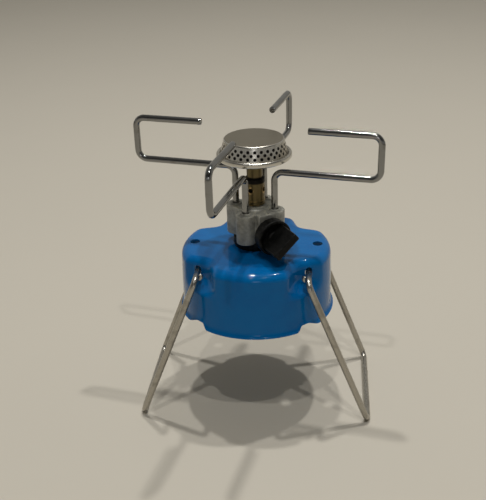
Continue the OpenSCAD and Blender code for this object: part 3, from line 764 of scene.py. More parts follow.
@finish
def blue_enamel(tree, colours):
    """Glossy blue enamel: slow change of depth, thin at the edges, with orange peel and small chips."""
    cloud = patches(tree, Scale=35.0)
    thin = worn_edges(tree, Amount=0.55, Scale=90.0)
    chips = fit(tree, worn_edges(tree, Amount=1.0, Scale=900.0), 0.93, 0.97)
    dust = settled_dust(tree, Amount=0.03, Scale=700.0)
    base = mixed(tree, cloud, colours.enamel, colours.enamel_deep)
    base = mixed(tree, thin, base, colours.enamel_thin)
    base = mixed(tree, dust, base, colours.dust)
    base = mixed(tree, chips, base, colours.bare_steel)
    smear = fit(tree, patches(tree, Scale=120.0), 0.0, 1.0, 0.05, 0.09)
    return {"Base Color": base, "Roughness": plus(tree, smear, times(tree, dust, 1.5)),
            "Specular IOR Level": 0.18, "Normal": bumped(tree, grain(tree, Scale=420.0), 0.06, 0.0003)}


@finish
def black_plastic(tree, colours):
    """Matt moulded black plastic: fine grain, rubbed edges and a little dust."""
    rubbed = worn_edges(tree, Amount=0.7, Scale=500.0)
    cloud = patches(tree, Scale=150.0, From=0.3, To=0.8)
    dust = settled_dust(tree, Amount=0.03, Scale=600.0)
    base = mixed(tree, cloud, colours.plastic, colours.plastic_pale)
    base = mixed(tree, rubbed, base, colours.plastic_rubbed)
    base = mixed(tree, dust, base, colours.dust)
    return {"Base Color": base, "Roughness": fit(tree, cloud, 0.0, 1.0, 0.34, 0.46),
            "Specular IOR Level": 0.12, "Normal": bumped(tree, grain(tree, Scale=2600.0), 0.25, 0.0002)}


def drawn_wire(tree, clean, dull, smooth, rough, strength):
    """Inputs of drawn wire: lines along it, slow ripples in its gloss and darker handling marks."""
    lines = drawn_lines(tree, Scale=9.0, Stretch=25.0)
    marks = patches(tree, Scale=110.0, From=0.52, To=0.68)
    streak = fit(tree, lines["Lines"], 0.35, 0.65, smooth, rough)
    height = plus(tree, times(tree, lines["Lines"], 0.25), lines["Ripple"])
    return {"Base Color": mixed(tree, times(tree, marks, 0.6), clean, dull), "Metallic": 1.0,
            "Roughness": plus(tree, streak, times(tree, marks, 0.10)),
            "Normal": bumped(tree, height, strength, 0.0004)}


@finish
def support_wire(tree, colours):
    """Bright plated wire."""
    return drawn_wire(tree, colours.chrome, colours.chrome_dull, 0.05, 0.11, 0.16)


@finish
def leg_wire(tree, colours):
    """Duller drawn steel wire."""
    return drawn_wire(tree, colours.steel, colours.steel_dull, 0.22, 0.36, 0.35)


@finish
def die_cast(tree, colours):
    """Raw zinc casting: mottled and stained skin, grain, brighter rubbed edges, and on top pale dust with
    painted light.
    """
    mottle = patches(tree, Scale=240.0, From=0.36, To=0.66)
    stain = patches(tree, Scale=75.0, From=0.50, To=0.72)
    rubbed = worn_edges(tree, Amount=0.8, Scale=260.0)
    # Pale speckle laid on thick over upward faces: settled dust, and painted light that makes the top look
    # lit
    dust = settled_dust(tree, Amount=1.5, Scale=260.0)
    base = mixed(tree, mottle, colours.zinc, colours.zinc_mottle)
    base = mixed(tree, times(tree, stain, 0.55), base, colours.zinc_stain)
    base = mixed(tree, rubbed, base, colours.zinc_rubbed)
    # Painted light: the top is lightened with the pale dust colour
    base = mixed(tree, dust, base, colours.zinc_dust_and_top_light)
    return {"Base Color": base, "Roughness": fit(tree, mottle, 0.0, 1.0, 0.38, 0.56),
            "Metallic": 0.3, "Normal": bumped(tree, grain(tree, Scale=900.0), 0.35, 0.0004)}


@finish
def brass(tree, colours):
    """Turned brass with a little tarnish."""
    tarnish = patches(tree, Scale=200.0)
    base = mixed(tree, times(tree, tarnish, 0.45), colours.brass, colours.patina)
    return {"Base Color": base, "Roughness": fit(tree, tarnish, 0.0, 1.0, 0.22, 0.40),
            "Metallic": 1.0, "Normal": bumped(tree, turned_lines(tree, Scale=3000.0), 0.15, 0.0002)}


@finish
def dark_brass(tree, colours):
    """Burner tube of brass browned by heat, with a black band of painted shade where the sleeve's top
    meets the tube.
    """
    sleeve_top = corners("air_sleeve")[1][2]
    # Band across the sleeve's top edge: painted shade at the joint between sleeve and tube
    band = times(tree, height_band(tree, sleeve_top - 3.4 * MM, sleeve_top - 2.2 * MM),
                 height_band(tree, sleeve_top + 1.6 * MM, sleeve_top + 0.4 * MM))
    soot = height_band(tree, sleeve_top + 6.0 * MM, sleeve_top + 16.0 * MM)
    bloom = patches(tree, Scale=170.0, From=0.35, To=0.70)
    rubbed = worn_edges(tree, Amount=0.9, Scale=300.0)
    base = mixed(tree, bloom, colours.patina, colours.patina_bloom)
    base = mixed(tree, times(tree, soot, 0.45), base, colours.soot)
    base = mixed(tree, rubbed, base, colours.brass)
    # Painted shade: the joint band is laid on in soot black
    base = mixed(tree, band, base, colours.soot)
    rough = plus(tree, fit(tree, bloom, 0.0, 1.0, 0.34, 0.46), times(tree, band, 0.2))
    return {"Base Color": base, "Roughness": rough, "Metallic": 0.9,
            "Normal": bumped(tree, turned_lines(tree, Scale=2200.0), 0.2, 0.0002)}


@finish
def burner_steel(tree, colours):
    """Pressed burner steel: heat tints round the flame holes, and a satin crown with turned lines,
    darkened partly by painted shade.
    """
    foot, top = (corner[2] for corner in corners("burner_cap"))
    heat = times(tree, height_band(tree, foot - 1.0 * MM, foot + 2.0 * MM),
                 height_band(tree, top - 1.2 * MM, foot + 4.0 * MM))
    crown = height_band(tree, top - 0.35 * MM, top - 0.05 * MM)
    bloom = patches(tree, Scale=130.0, From=0.35, To=0.70)
    tint = times(tree, heat, fit(tree, bloom, 0.0, 1.0, 0.15, 0.6))
    base = mixed(tree, tint, colours.burner, colours.burner_heat)
    # The crown's darker colour is partly the cap's own satin tone and partly painted shade on its top
    base = mixed(tree, times(tree, crown, 0.85), base, colours.burner_crown_shaded)
    rings = times(tree, turned_lines(tree, Scale=1800.0), crown)
    rough = plus(tree, fit(tree, bloom, 0.0, 1.0, 0.23, 0.27), times(tree, crown, 0.16))
    return {"Base Color": base, "Roughness": rough, "Metallic": 1.0,
            "Normal": bumped(tree, rings, 0.03, 0.0002)}


@finish
def soot_gauze(tree, colours):
    """Blackened gauze behind the flame holes, with a fine rough grain."""
    weave = grain(tree, Scale=2400.0)
    base = mixed(tree, fit(tree, weave, 0.5, 1.0), colours.soot, colours.gauze)
    return {"Base Color": base, "Roughness": fit(tree, weave, 0.5, 1.0, 0.7, 0.9),
            "Metallic": 0.3, "Normal": bumped(tree, weave, 0.6, 0.0003)}


@finish
def plated_steel(tree, colours):
    """Zinc-plated steel with a darker bloom."""
    bloom = patches(tree, Scale=260.0)
    return {"Base Color": mixed(tree, bloom, colours.plated, colours.plated_bloom),
            "Roughness": fit(tree, bloom, 0.0, 1.0, 0.26, 0.42), "Metallic": 1.0,
            "Normal": bumped(tree, grain(tree, Scale=1400.0), 0.12, 0.0002)}


@finish
def bronze(tree, colours):
    """Sintered bronze: rounded grains with dark pores."""
    inputs = {"Vector": object_place(tree), "Scale": 2600.0}
    cells = put(tree, "ShaderNodeTexVoronoi", inputs).outputs[0]
    return {"Base Color": mixed(tree, fit(tree, cells, 0.3, 0.7), colours.bronze, colours.bronze_pore),
            "Roughness": fit(tree, cells, 0.2, 0.7, 0.35, 0.8), "Metallic": 1.0,
            "Normal": bumped(tree, sums(tree, "SUBTRACT", 1.0, cells), 0.5, 0.0003)}


@finish
def rubber(tree, colours):
    """Black rubber with a faint grey bloom."""
    bloom = patches(tree, Scale=300.0)
    return {"Base Color": mixed(tree, bloom, colours.rubber, colours.rubber_bloom),
            "Roughness": fit(tree, bloom, 0.0, 1.0, 0.62, 0.78),
            "Normal": bumped(tree, grain(tree, Scale=1800.0), 0.2, 0.0002)}


# Pieces

def cup_sheet(sizes, hole, low, high, turns=400):
    """The pressed cup as one closed sheet, worked out on turns round the axis and rows down it.

    Each turn's outline is a flat top, a quarter-oval shoulder, a wall and an oval lip. From above,
    the upper wall is two crossed bars cut round: the lesser of the plain wall's radius and the greater
    of the two bars' distances from the axis, both blended. The four dimples left between the bars run
    out to the plain wall over a sloping ledge. The rim rises and its flare fades at the four notches.
    The inside is the outside moved in along its normals, and a half-round edge joins the two at the lip.
    """
    theta = circle(turns)
    lip_radius = high[0]
    wall_radius = lip_radius - sizes.lip_out
    rim = low[2] + sizes.wall / 2.0
    top = high[2]
    least_part = 0.05
    side_lobe = sizes.side_lobe / np.maximum(np.abs(np.sin(theta)), least_part)
    front_lobe = sizes.front_lobe / np.maximum(np.abs(np.cos(theta)), least_part)
    lobes = smooth_max(side_lobe, front_lobe, sizes.dimple_fillet)
    hollow = wall_radius - smooth_min(wall_radius, lobes, sizes.dimple_edge)
    upper = wall_radius - sizes.draft - hollow
    from_x = np.abs((theta + np.pi / 2.0) % np.pi - np.pi / 2.0)
    along = (from_x - sizes.notch_turn) * wall_radius
    climb = smooth_step((along + sizes.notch_width / 2.0) / sizes.notch_slope)
    drop = smooth_step((sizes.notch_width / 2.0 - along) / sizes.notch_step)
    edge = rim + sizes.notch_height * climb * drop

    def rows(count):
        return np.linspace(0.0, 1.0, count)[1:, None]

    flat = np.linspace(0.0, 1.0, 16)[:, None]
    flat_r = hole + flat * (upper - sizes.crown - hole)
    flat_z = np.full_like(flat_r, top)
    arc = rows(26) * np.pi / 2.0
    arc_r = upper - sizes.crown + sizes.crown * np.sin(arc)
    arc_z = np.broadcast_to(top - sizes.shoulder + sizes.shoulder * np.cos(arc), arc_r.shape)
    wall_top = top - sizes.shoulder
    wall_z = wall_top + rows(52) * (edge + sizes.lip_height - wall_top)
    ledge = low[2] + sizes.ledge_height
    drawn_in = sizes.draft * np.clip((wall_z - ledge) / (wall_top - ledge), 0.0, 1.0)
    pressed = smooth_step((wall_z - ledge) / sizes.ledge_slope)
    wall_r = wall_radius - hollow * pressed - drawn_in
    flare = rows(16) * sizes.lip_turn
    flare_z = edge + sizes.lip_height * (1.0 - np.sin(flare) / np.sin(sizes.lip_turn))
    flare_out = (1.0 - np.cos(flare)) / (1.0 - np.cos(sizes.lip_turn))
    flare_r = wall_radius + sizes.lip_out * (1.0 - sizes.notch_flat * climb * drop) * flare_out
    radius = np.concatenate([flat_r, arc_r, wall_r, flare_r])
    height = np.concatenate([flat_z, arc_z, wall_z, flare_z])
    outside = around(radius, height, theta)
    normal = sheet_normals(outside)
    inside = outside - sizes.wall * normal
    half = np.linspace(0.0, np.pi, 8)[1:-1, None, None]
    onward = unit(outside[-1] - outside[-2])
    middle = outside[-1] - normal[-1] * sizes.wall / 2.0
    hem = middle + sizes.wall / 2.0 * (np.cos(half) * normal[-1] + np.sin(half) * onward)
    return np.concatenate([outside, hem, inside[::-2]])


class STOVE_OT_cup(bpy.types.Operator):
    """Pressed and enamelled cup with its dimples, notches, vents and hook holes"""

    bl_idname = "stove.cup"
    bl_label = "Cup"

    def execute(self, context):
        sizes = context.scene.stove_cup
        wires = context.scene.stove_wires
        low, high = corners("cartridge_cup")
        hole = corners("collar_washer")[1][0] * HOLE_SHARE
        mesh = grid_mesh("enamel_cup", [(cup_sheet(sizes, hole, low, high), True)])
        vent = sizes.vent_diameter / 2.0
        vent_x = high[0] - sizes.lip_out - sizes.vent_inset
        drill = plug(vent, high[2] - sizes.shoulder, high[2] + sizes.shoulder)
        slot_radius = wires.leg_wire / 2.0 + HOOK_GAP
        slot_start = 0.4 * high[0]
        half_turn = np.linspace(0.0, np.pi, 14)
        curve = slot_radius * np.stack([np.cos(half_turn), np.sin(half_turn)], -1)
        outline = np.concatenate([curve + [0.0, sizes.hook_slot], -curve])
        tools = []
        for name, side in (("leg_right_swing", 1.0), ("leg_left_swing", -1.0)):
            tools.append((turned(drill, 48, (side * vent_x, 0.0, 0.0)), False))
            hook = joint_place(name)
            for face in (1.0, -1.0):
                axes = np.array([[1.0, 0.0, 0.0], [0.0, 0.0, 1.0], [0.0, face, 0.0]])
                tools.append((prism(outline, slot_start, high[0], hook, axes), False))
        mesh = cut(context, mesh, grid_mesh("cup_holes", tools))
        add_piece(context, "enamel_cup", mesh, "blue_enamel", "stand", "cartridge_cup", crease=50.0)
        return {"FINISHED"}


def hexagon(corner, bore, low, high, place=(0.0, 0.0, 0.0), axes=np.eye(3), turns=144):
    """A hexagon nut: the flat sides' radius is the half width over cos of the turn from each flat's
    middle, held within a cone that chamfers the corners at both ends, and a plain bore."""
    angle = circle(turns)
    flat = corner * np.cos(np.pi / 6.0)
    sides = flat / np.cos(angle % (np.pi / 3.0) - np.pi / 6.0)
    chamfer = (corner - flat) * CHAMFER_SHARE
    ramp = np.linspace(0.0, 1.0, 5)
    rise = np.concatenate([ramp, ramp[::-1]])[:, None]
    depth = rise * chamfer * CHAMFER_SLOPE
    height = np.concatenate([low + depth[:len(ramp)], high - depth[len(ramp):]])
    outer = np.minimum(sides, corner - chamfer * (1.0 - rise))
    radius = np.concatenate([np.full((1, turns), bore), outer, np.full((1, turns), bore)])
    height = np.concatenate([[[low]], height, [[high]]])
    return np.asarray(place) + around(radius, height, angle) @ np.asarray(axes)


class STOVE_OT_collar(bpy.types.Operator):
    """Black collar on the cup, and the hexagon nut that holds it"""

    bl_idname = "stove.collar"
    bl_label = "Collar"

    def execute(self, context):
        sizes = context.scene.stove_cup
        low, high = corners("neck_collar")
        cup_top = corners("cartridge_cup")[1][2]
        bore = corners("threaded_neck")[1][0] + THREAD_GAP
        nut_low, nut_high = corners("collar_nut")
        spigot = corners("collar_washer")[1][0] * SPIGOT_SHARE
        foot = high[0] - sizes.collar_step
        line = rounded(
            [(bore, low[2]), (spigot, low[2]), (spigot, cup_top), (foot, cup_top),
             (foot, cup_top + sizes.collar_foot), (high[0], cup_top + sizes.collar_foot),
             (high[0], high[2]), (bore, high[2])],
            np.array([0.2, 0.3, 0.0, 0.25, 0.0, 0.35, sizes.collar_edge / MM, 0.3]) * MM, closed=True)
        mesh = grid_mesh("collar_ring", [(turned(line, 120), True)])
        add_piece(context, "collar_ring", mesh, "black_plastic", "stand", "neck_collar")
        nut = hexagon(nut_high[0], spigot + THREAD_GAP, nut_low[2], nut_high[2])
        mesh = grid_mesh("collar_hexagon", [(nut, True)])
        add_piece(context, "collar_hexagon", mesh, "brass", "stand", "collar_nut")
        return {"FINISHED"}


class STOVE_OT_legs(bpy.types.Operator):
    """Two bent wire bails that are the stove's legs"""

    bl_idname = "stove.legs"
    bl_label = "Legs"

    def execute(self, context):
        sizes = context.scene.stove_wires
        radius = sizes.leg_wire / 2.0
        for side, outward in (("right", 1.0), ("left", -1.0)):
            node = "leg_" + side
            low, high = corners(node)
            hook = joint_place(node + "_swing")
            foot_x = high[0] - radius if outward > 0.0 else low[0] + radius
            fall = np.array([foot_x - hook[0], 0.0, low[2] + radius - hook[2]])
            run = np.linalg.norm(fall)
            down = fall / run
            across = np.array([0.0, 1.0, 0.0])
            leg_y = high[1] - radius
            points = [(sizes.hook_tip, 0.0), (leg_y, 0.0), (leg_y, run), (-leg_y, run), (-leg_y, 0.0),
                      (-sizes.hook_tip, 0.0)]
            wire, flow = bent_wire(points, sizes.leg_bend, radius, sizes, hook, across, down)
            forms = [(wire, False)]
            sideways = np.cross(across, down)
            inward = sideways if sideways[0] * outward < 0.0 else -sideways
            for face in (1.0, -1.0):
                place = hook + sizes.ear_out * inward + sizes.ear_place * face * across
                forms.append((self.ear(sizes, place, inward, down), False))
            mesh = grid_mesh("bail_" + side, forms, flow)
            add_piece(context, "bail_" + side, mesh, "leg_wire", side + "_leg", node)
        return {"FINISHED"}

    @staticmethod
    def ear(sizes, place, inward, down):
        """A pinched ear: a flattened ball, longer along the leg, its thickness along the hook."""
        swing = np.linspace(0.0, np.pi, 18)
        profile = np.stack([np.sin(swing) ** 0.45, -np.cos(swing)], -1)
        axes = np.stack([inward * sizes.ear_width, down * sizes.ear_length,
                         np.cross(inward, down) * sizes.ear_thickness])
        return turned(profile, 32, place, axes / 2.0)


class STOVE_OT_supports(bpy.types.Operator):
    """Four bent wire pot supports"""

    bl_idname = "stove.supports"
    bl_label = "Pot supports"

    def execute(self, context):
        sizes = context.scene.stove_wires
        radius = sizes.support_wire / 2.0
        for side in SIDES:
            node = "pot_support_" + side
            low, high = corners(node)
            pivot = joint_place("support_" + side + "_swivel") * [1.0, 1.0, 0.0]
            heading = np.arctan2(pivot[1], pivot[0]) + sizes.support_turn
            outward = np.array([np.cos(heading), np.sin(heading), 0.0])
            reach = ((node_points(node) - pivot) @ outward).max() - radius
            rest = high[2] - radius
            run = rest - sizes.support_height
            points = [(0.0, low[2]), (0.0, run), (reach, run), (reach, rest), (sizes.support_inner, rest)]
            wire, flow = bent_wire(points, sizes.support_bend, radius, sizes, pivot, outward, UP)
            mesh = grid_mesh("support_" + side, [(wire, False)], flow)
            add_piece(context, "support_" + side, mesh, "support_wire", side + "_support", node)
        return {"FINISHED"}


def cast_skin(sizes, bosses, port_turn, port_height, low, top, turns=480):
    """The casting as distance from the axis over turn and height.

    Round the axis it is the greatest of the core, the four bosses with their webs, and the spindle's
    port, with the hollows between them filled by smooth steps. Above its axis the port is a block as
    high as the casting. Both ends draw in on a quarter round.
    """
    theta = circle(turns)
    block_blend, face_blend, port_blend = 0.4 * MM, 0.8 * MM, 1.4 * MM
    boss = sizes.boss / 2.0
    outline = np.full(turns, sizes.core / 2.0)
    for x, y in bosses:
        pivot = np.hypot(x, y)
        swing = turn_from(theta, np.arctan2(y, x))
        beside = np.abs(pivot * np.sin(swing))
        ahead = np.cos(swing) > 0.0
        round_end = pivot * np.cos(swing) + np.sqrt(np.maximum(boss**2 - beside**2, 0.0))
        round_end = np.where((beside < boss) & ahead, round_end, 0.0)
        web = np.minimum(boss / np.maximum(np.abs(np.sin(swing)), LEAST),
                         pivot / np.maximum(np.cos(swing), LEAST))
        lobe = np.maximum(round_end, np.where(ahead, web, 0.0))
        outline = smooth_max(outline, lobe, sizes.fillet)
    edge = sizes.edge
    quarter = np.linspace(0.0, 1.0, 7) * np.pi / 2.0
    ends = edge * (1.0 - np.cos(quarter))
    height = np.concatenate([low + ends[:-1], np.linspace(low + edge, top - edge, 40), top - ends[-2::-1]])
    swing = turn_from(theta, port_turn)
    ahead = np.cos(swing)
    width = np.sqrt(np.maximum((sizes.port / 2.0) ** 2 - (height - port_height) ** 2, 0.0))
    block = smooth_max(width, sizes.block / 2.0, block_blend)
    width = np.where(height > port_height, block, width)[:, None]
    least_ahead = 0.2
    face = sizes.port_reach / np.maximum(ahead, least_ahead)
    sides = width / np.maximum(np.abs(np.sin(swing)), LEAST)
    port = np.where(ahead > least_ahead, smooth_min(face, sides, face_blend), 0.0)
    radius = smooth_max(outline, port, port_blend)
    from_end = np.minimum(height - low, top - height)
    inset = edge - np.sqrt(np.maximum(edge**2 - np.maximum(edge - from_end, 0.0) ** 2, 0.0))
    radius = radius - inset[:, None]
    shrink = np.array([0.0, 0.5])[:, None]
    radius = np.concatenate([shrink * radius[0], radius, shrink[::-1] * radius[-1]])
    height = np.concatenate([[low, low], height, [top, top]])[:, None]
    return around(radius, height, theta)


class STOVE_OT_body(bpy.types.Operator):
    """Cast valve body with its four bosses, their lips and the spindle's port"""

    bl_idname = "stove.body"
    bl_label = "Valve body"

    def execute(self, context):
        sizes = context.scene.stove_body
        stem = context.scene.stove_wires.support_wire / 2.0
        low, high = corners("valve_body")
        top = high[2] - sizes.land_height
        bosses = [joint_place("support_" + side + "_swivel")[:2] for side in SIDES]
        port_place, axes = knob_frame()
        port_turn = np.arctan2(axes[2, 1], axes[2, 0])
        skin = cast_skin(sizes, bosses, port_turn, port_place[2], low[2], top)
        bore = stem + sizes.stem_gap
        drill = plug(bore, top - 3.0 * sizes.edge, top + sizes.edge)
        tools = [(turned(drill, 40, (x, y, 0.0)), False) for x, y in bosses]
        pit_depth = 1.0 * MM
        pit_floor, pit_mouth = 0.8 * MM, 0.9 * MM
        pit_reach = 14.2 * MM
        pit_turn = port_turn + 0.11
        pit = plug(pit_floor, top - pit_depth, top + pit_depth, pit_mouth)
        pit_place = pit_reach * np.array([np.cos(pit_turn), np.sin(pit_turn), 0.0])
        tools.append((turned(pit, 24, pit_place), False))
        mesh = cut(context, grid_mesh("cast_body", [(skin, False)]), grid_mesh("cast_holes", tools))
        lip_sunk, land_sunk = 0.4 * MM, 0.5 * MM
        lip_outer = bore + sizes.lip_width
        lip_top = top + sizes.lip_height
        lip = rounded([(bore, top - lip_sunk), (lip_outer, top - lip_sunk), (lip_outer, lip_top),
                       (bore, lip_top)], np.array([0.0, 0.0, 0.35, 0.2]) * MM, closed=True)
        land = sizes.land / 2.0
        flare, flare_rise = 1.3 * MM, 0.9 * MM
        seat = rounded([(0.0, top - land_sunk), (land + flare, top - land_sunk), (land, top + flare_rise),
                        (land, high[2]), (0.0, high[2])],
                       np.array([0.0, 0.3, 0.8, 0.45, 0.0]) * MM)
        extras = [(turned(lip, 48, (x, y, 0.0)), True) for x, y in bosses]
        extras.append((turned(seat, 96), False))
        close_up(mesh, grid_mesh("cast_lips", extras))
        add_piece(context, "cast_body", mesh, "die_cast", "burner", "valve_body", crease=45.0)
        return {"FINISHED"}


class STOVE_OT_neck(bpy.types.Operator):
    """Threaded brass neck below the casting, and the gland nut behind the knob"""

    bl_idname = "stove.neck"
    bl_label = "Neck and gland nut"

    def execute(self, context):
        sizes = context.scene.stove_body
        low, high = corners("threaded_neck")
        shoulder = high[2] - sizes.stub_length
        mesh = grid_mesh("neck_thread", [(self.thread(sizes, low, high, shoulder), True)])
        add_piece(context, "neck_thread", mesh, "brass", "burner", "threaded_neck", crease=50.0)
        place, axes = knob_frame()
        points = node_points("gland_nut") - place
        ring_section = 1.2 * MM
        bore = corners("spindle_oring")[1][2] - place[2] - ring_section
        wide = np.linalg.norm(points @ axes[:2].T, axis=1).max()
        nut = hexagon(wide, bore, sizes.port_reach, (points @ axes[2]).max(), place, axes)
        mesh = grid_mesh("gland_hexagon", [(nut, True)])
        add_piece(context, "gland_hexagon", mesh, "brass", "burner", "gland_nut")
        return {"FINISHED"}

    @staticmethod
    def thread(sizes, low, high, shoulder, turns=96):
        """The neck as a closed ring of rows: outside it is a screw thread, whose depth is a triangle
        wave of height over pitch less the share of a turn, and inside are the seal's recess and the
        needle's bore."""
        angle = circle(turns)
        outer = high[0]
        height = np.arange(low[2], shoulder, sizes.thread_pitch / 12.0)[:, None]
        phase = (height / sizes.thread_pitch - angle / (2.0 * np.pi)) % 1.0
        fade = np.minimum(height - low[2], shoulder - height) / sizes.thread_pitch
        steepness, crest_flat = 1.3, 0.15
        fade_speed, fade_start = 2.0, 0.3
        wave = np.abs(2.0 * phase - 1.0) * steepness - crest_flat
        depth = sizes.thread_depth * np.clip(wave, 0.0, 1.0)
        threaded = outer - depth * np.clip(fade * fade_speed + fade_start, 0.0, 1.0)
        stub, recess, bore = (d / 2.0 for d in (sizes.stub, sizes.neck_bore, sizes.needle_bore))
        plain = [(outer, shoulder), (stub, shoulder), (stub, high[2]), (bore, high[2]),
                 (bore, low[2] + sizes.seal_recess), (recess, low[2] + sizes.seal_recess),
                 (recess, low[2])]
        radius = np.concatenate([threaded, *[np.full((1, turns), r) for r, _ in plain]])
        rise = np.concatenate([np.broadcast_to(height, threaded.shape),
                               *[np.full((1, turns), z) for _, z in plain]])
        return around(radius, rise, angle)


class STOVE_OT_burner(bpy.types.Operator):
    """Air sleeve with its bead and holes, and the burner's dish with its rolled rim"""

    bl_idname = "stove.burner"
    bl_label = "Burner"

    def execute(self, context):
        sizes = context.scene.stove_burner
        self.sleeve(context, sizes)
        self.dish(context, sizes)
        return {"FINISHED"}

    @staticmethod
    def sleeve(context, sizes):
        """A turned sleeve, with two crossed bores cut as air holes in line with the bosses."""
        low, high = corners("air_sleeve")
        bore = sizes.sleeve_bore / 2.0
        outer = high[0]
        bead = low[2] + sizes.bead_rise
        half = sizes.bead / 2.0
        crest = outer + half * 0.7
        crest_half = half * 0.4
        line = rounded(
            [(bore, low[2]), (outer, low[2]), (outer, bead - half), (crest, bead - crest_half),
             (crest, bead + crest_half), (outer, bead + half), (outer, high[2]), (bore, high[2])],
            np.array([0.2, 0.3, 0.1, 0.1, 0.1, 0.1, 0.45, 0.25]) * MM, steps=4, closed=True)
        row_gap = 0.8 * MM
        ring = spaced(np.concatenate([line, line[:1]]), row_gap)[:-1]
        hole = sizes.air_hole / 2.0
        reach = 2.0 * outer
        drill = plug(hole, -reach, reach)
        first = joint_place("support_right_swivel")
        tools = []
        for heading in np.arctan2(first[1], first[0]) + np.array([0.0, np.pi / 2.0]):
            along = np.array([np.cos(heading), np.sin(heading), 0.0])
            axes = np.stack([np.cross(along, UP), UP, along])
            tools.append((turned(drill, 32, (0.0, 0.0, low[2] + sizes.air_rise), axes), False))
        mesh = grid_mesh("tube_sleeve", [(turned(ring, 96), True)])
        for tool in tools:
            mesh = cut(context, mesh, grid_mesh("sleeve_holes", [tool]))
        add_piece(context, "tube_sleeve", mesh, "dark_brass", "burner", "air_sleeve")

    @staticmethod
    def dish(context, sizes):
        """A turned dish of thin sheet, with a rolled rim: a circle whose lower half is moved down."""
        low, high = corners("burner_base")
        roll = sizes.roll / 2.0
        hub = corners("burner_tube")[1][0] + HUB_GAP
        outer = high[0] - roll
        seat = high[2] - sizes.roll + sizes.sheet
        inner = outer - roll - sizes.seat_width
        floor = low[2] + sizes.dish_hub
        sheet = sizes.sheet
        line = rounded(
            [(hub, low[2]), (hub + sheet, low[2]), (hub + sheet, floor - sheet), (inner, seat - sheet),
             (outer, seat - sheet), (outer, seat), (inner, seat), (hub + sheet, floor), (hub, floor)],
            np.array([0.3, 0.3, 1.0, 2.0, 0.0, 0.0, 2.0, 0.5, 0.2]) * MM, closed=True)
        swing = circle(28)
        rim = np.stack([outer + roll * np.cos(swing), high[2] - roll + roll * np.sin(swing)], -1)
        rim[:, 1] -= np.where(np.sin(swing) < 0.0, sizes.roll_height - sizes.roll, 0.0)
        mesh = grid_mesh("burner_dish", [(turned(ring, 144), True) for ring in (line, rim)])
        add_piece(context, "burner_dish", mesh, "burner_steel", "burner", "burner_base")


def round_box(half_width, half_thickness, corner, steps=8):
    """Sections with rounded corners, one row for each given size: four quarter circles joined."""
    quarter = np.linspace(0.0, np.pi / 2.0, steps)
    turns = np.concatenate([quarter + k * np.pi / 2.0 for k in range(4)])
    side_x = np.repeat([1.0, -1.0, -1.0, 1.0], steps)
    side_y = np.repeat([1.0, 1.0, -1.0, -1.0], steps)
    corner = np.asarray(corner)[:, None]
    x = side_x * (np.asarray(half_width)[:, None] - corner) + corner * np.cos(turns)
    y = side_y * (np.asarray(half_thickness)[:, None] - corner) + corner * np.sin(turns)
    return x, y


class STOVE_OT_knob(bpy.types.Operator):
    """Moulded control knob: a dished skirt and a paddle grip"""

    bl_idname = "stove.knob"
    bl_label = "Knob"

    def execute(self, context):
        sizes = context.scene.stove_knob
        place, axes = knob_frame()
        along = (node_points("control_knob") - place) @ axes[2]
        back, end = along.min(), along.max()
        forms = [(turned(self.skirt(sizes, back), 128, place, axes), True),
                 (place + self.paddle(sizes, back, end) @ axes, False)]
        mesh = grid_mesh("knob_grip", forms)
        add_piece(context, "knob_grip", mesh, "black_plastic", "knob", "control_knob")
        return {"FINISHED"}

    @staticmethod
    def skirt(sizes, back):
        """Closed profile of the skirt: back face, rounded rim, dished floor, hub and bore."""
        outer = sizes.skirt / 2.0
        inner = outer - sizes.skirt_wall
        rim = back + sizes.skirt_length
        floor = back + sizes.floor
        hub = sizes.hub / 2.0
        bore = sizes.bore / 2.0
        hub_end = rim - 0.6 * MM
        draft, hub_draft = 0.3 * MM, 0.2 * MM
        return rounded(
            [(bore, back), (outer - draft, back), (outer, rim), (inner, rim), (inner - draft, floor),
             (hub, floor), (hub - hub_draft, hub_end), (bore, hub_end)],
            np.array([0.2, 0.9, 0.7, 0.5, 0.8, 0.5, 0.6, 0.0]) * MM, closed=True)

    @staticmethod
    def paddle(sizes, back, end):
        """Rounded sections carried outwards from the floor, a little narrower towards the end, drawn
        in on a quarter round and closed, with a shallow hollow pressed in each broad face."""
        root = 0.5 * MM
        start = back + sizes.floor - root
        edge = sizes.edge * 1.6
        rows = 26
        run = np.linspace(0.0, 1.0, rows)
        quarter = np.linspace(0.0, np.pi / 2.0, 7)[1:]
        half_width = sizes.paddle_width / 2.0
        half_thick = sizes.paddle_thickness / 2.0
        thin_end = half_thick * 0.90
        rows_s = np.concatenate([[start], start + run * (end - edge - start),
                                 end - edge + edge * np.sin(quarter), [end, end]])
        inset = np.concatenate([[half_thick], np.zeros(rows), edge * (1.0 - np.cos(quarter)),
                                [(edge + thin_end) / 2.0, thin_end]])
        thick = np.maximum(np.interp(rows_s, [start, end], [half_thick, thin_end]) - inset, 0.0)
        corner = np.clip(sizes.paddle_corner - inset, 0.0, thick)
        x, y = round_box(half_width - inset, thick, corner)
        level = rows_s[:, None]
        bowl_middle = 0.58 * (end - start) + start
        bowl_reach = 0.5 * (end - start)
        bowl_power = 0.8
        bowl = np.clip(1.0 - (x / half_width) ** 2, 0.0, 1.0)
        bowl = bowl * np.clip(1.0 - ((level - bowl_middle) / bowl_reach) ** 2, 0.0, 1.0) ** bowl_power
        y = y * (1.0 - sizes.paddle_hollow / half_thick * bowl)
        lean = np.pi / 2.0 + sizes.paddle_tilt
        across = x * np.cos(lean) - y * np.sin(lean)
        rise = x * np.sin(lean) + y * np.cos(lean)
        return np.stack([across, rise, np.broadcast_to(level, x.shape)], -1)


class STOVE_OT_fittings(bpy.types.Operator):
    """Finishes for the solids that stay as they are"""

    bl_idname = "stove.fittings"
    bl_label = "Fittings"

    def execute(self, context):
        colours = context.scene.stove_finishes
        plain = {"port_gauze": soot_gauze}
        for name, solid in frame["nodes"].items():
            for held in solid.material_slots:
                slot = held.material.name.split(".")[0]
                if slot not in MATERIALS:
                    continue
                held.material = plain.get(name, MATERIALS[slot])(colours)
        return {"FINISHED"}


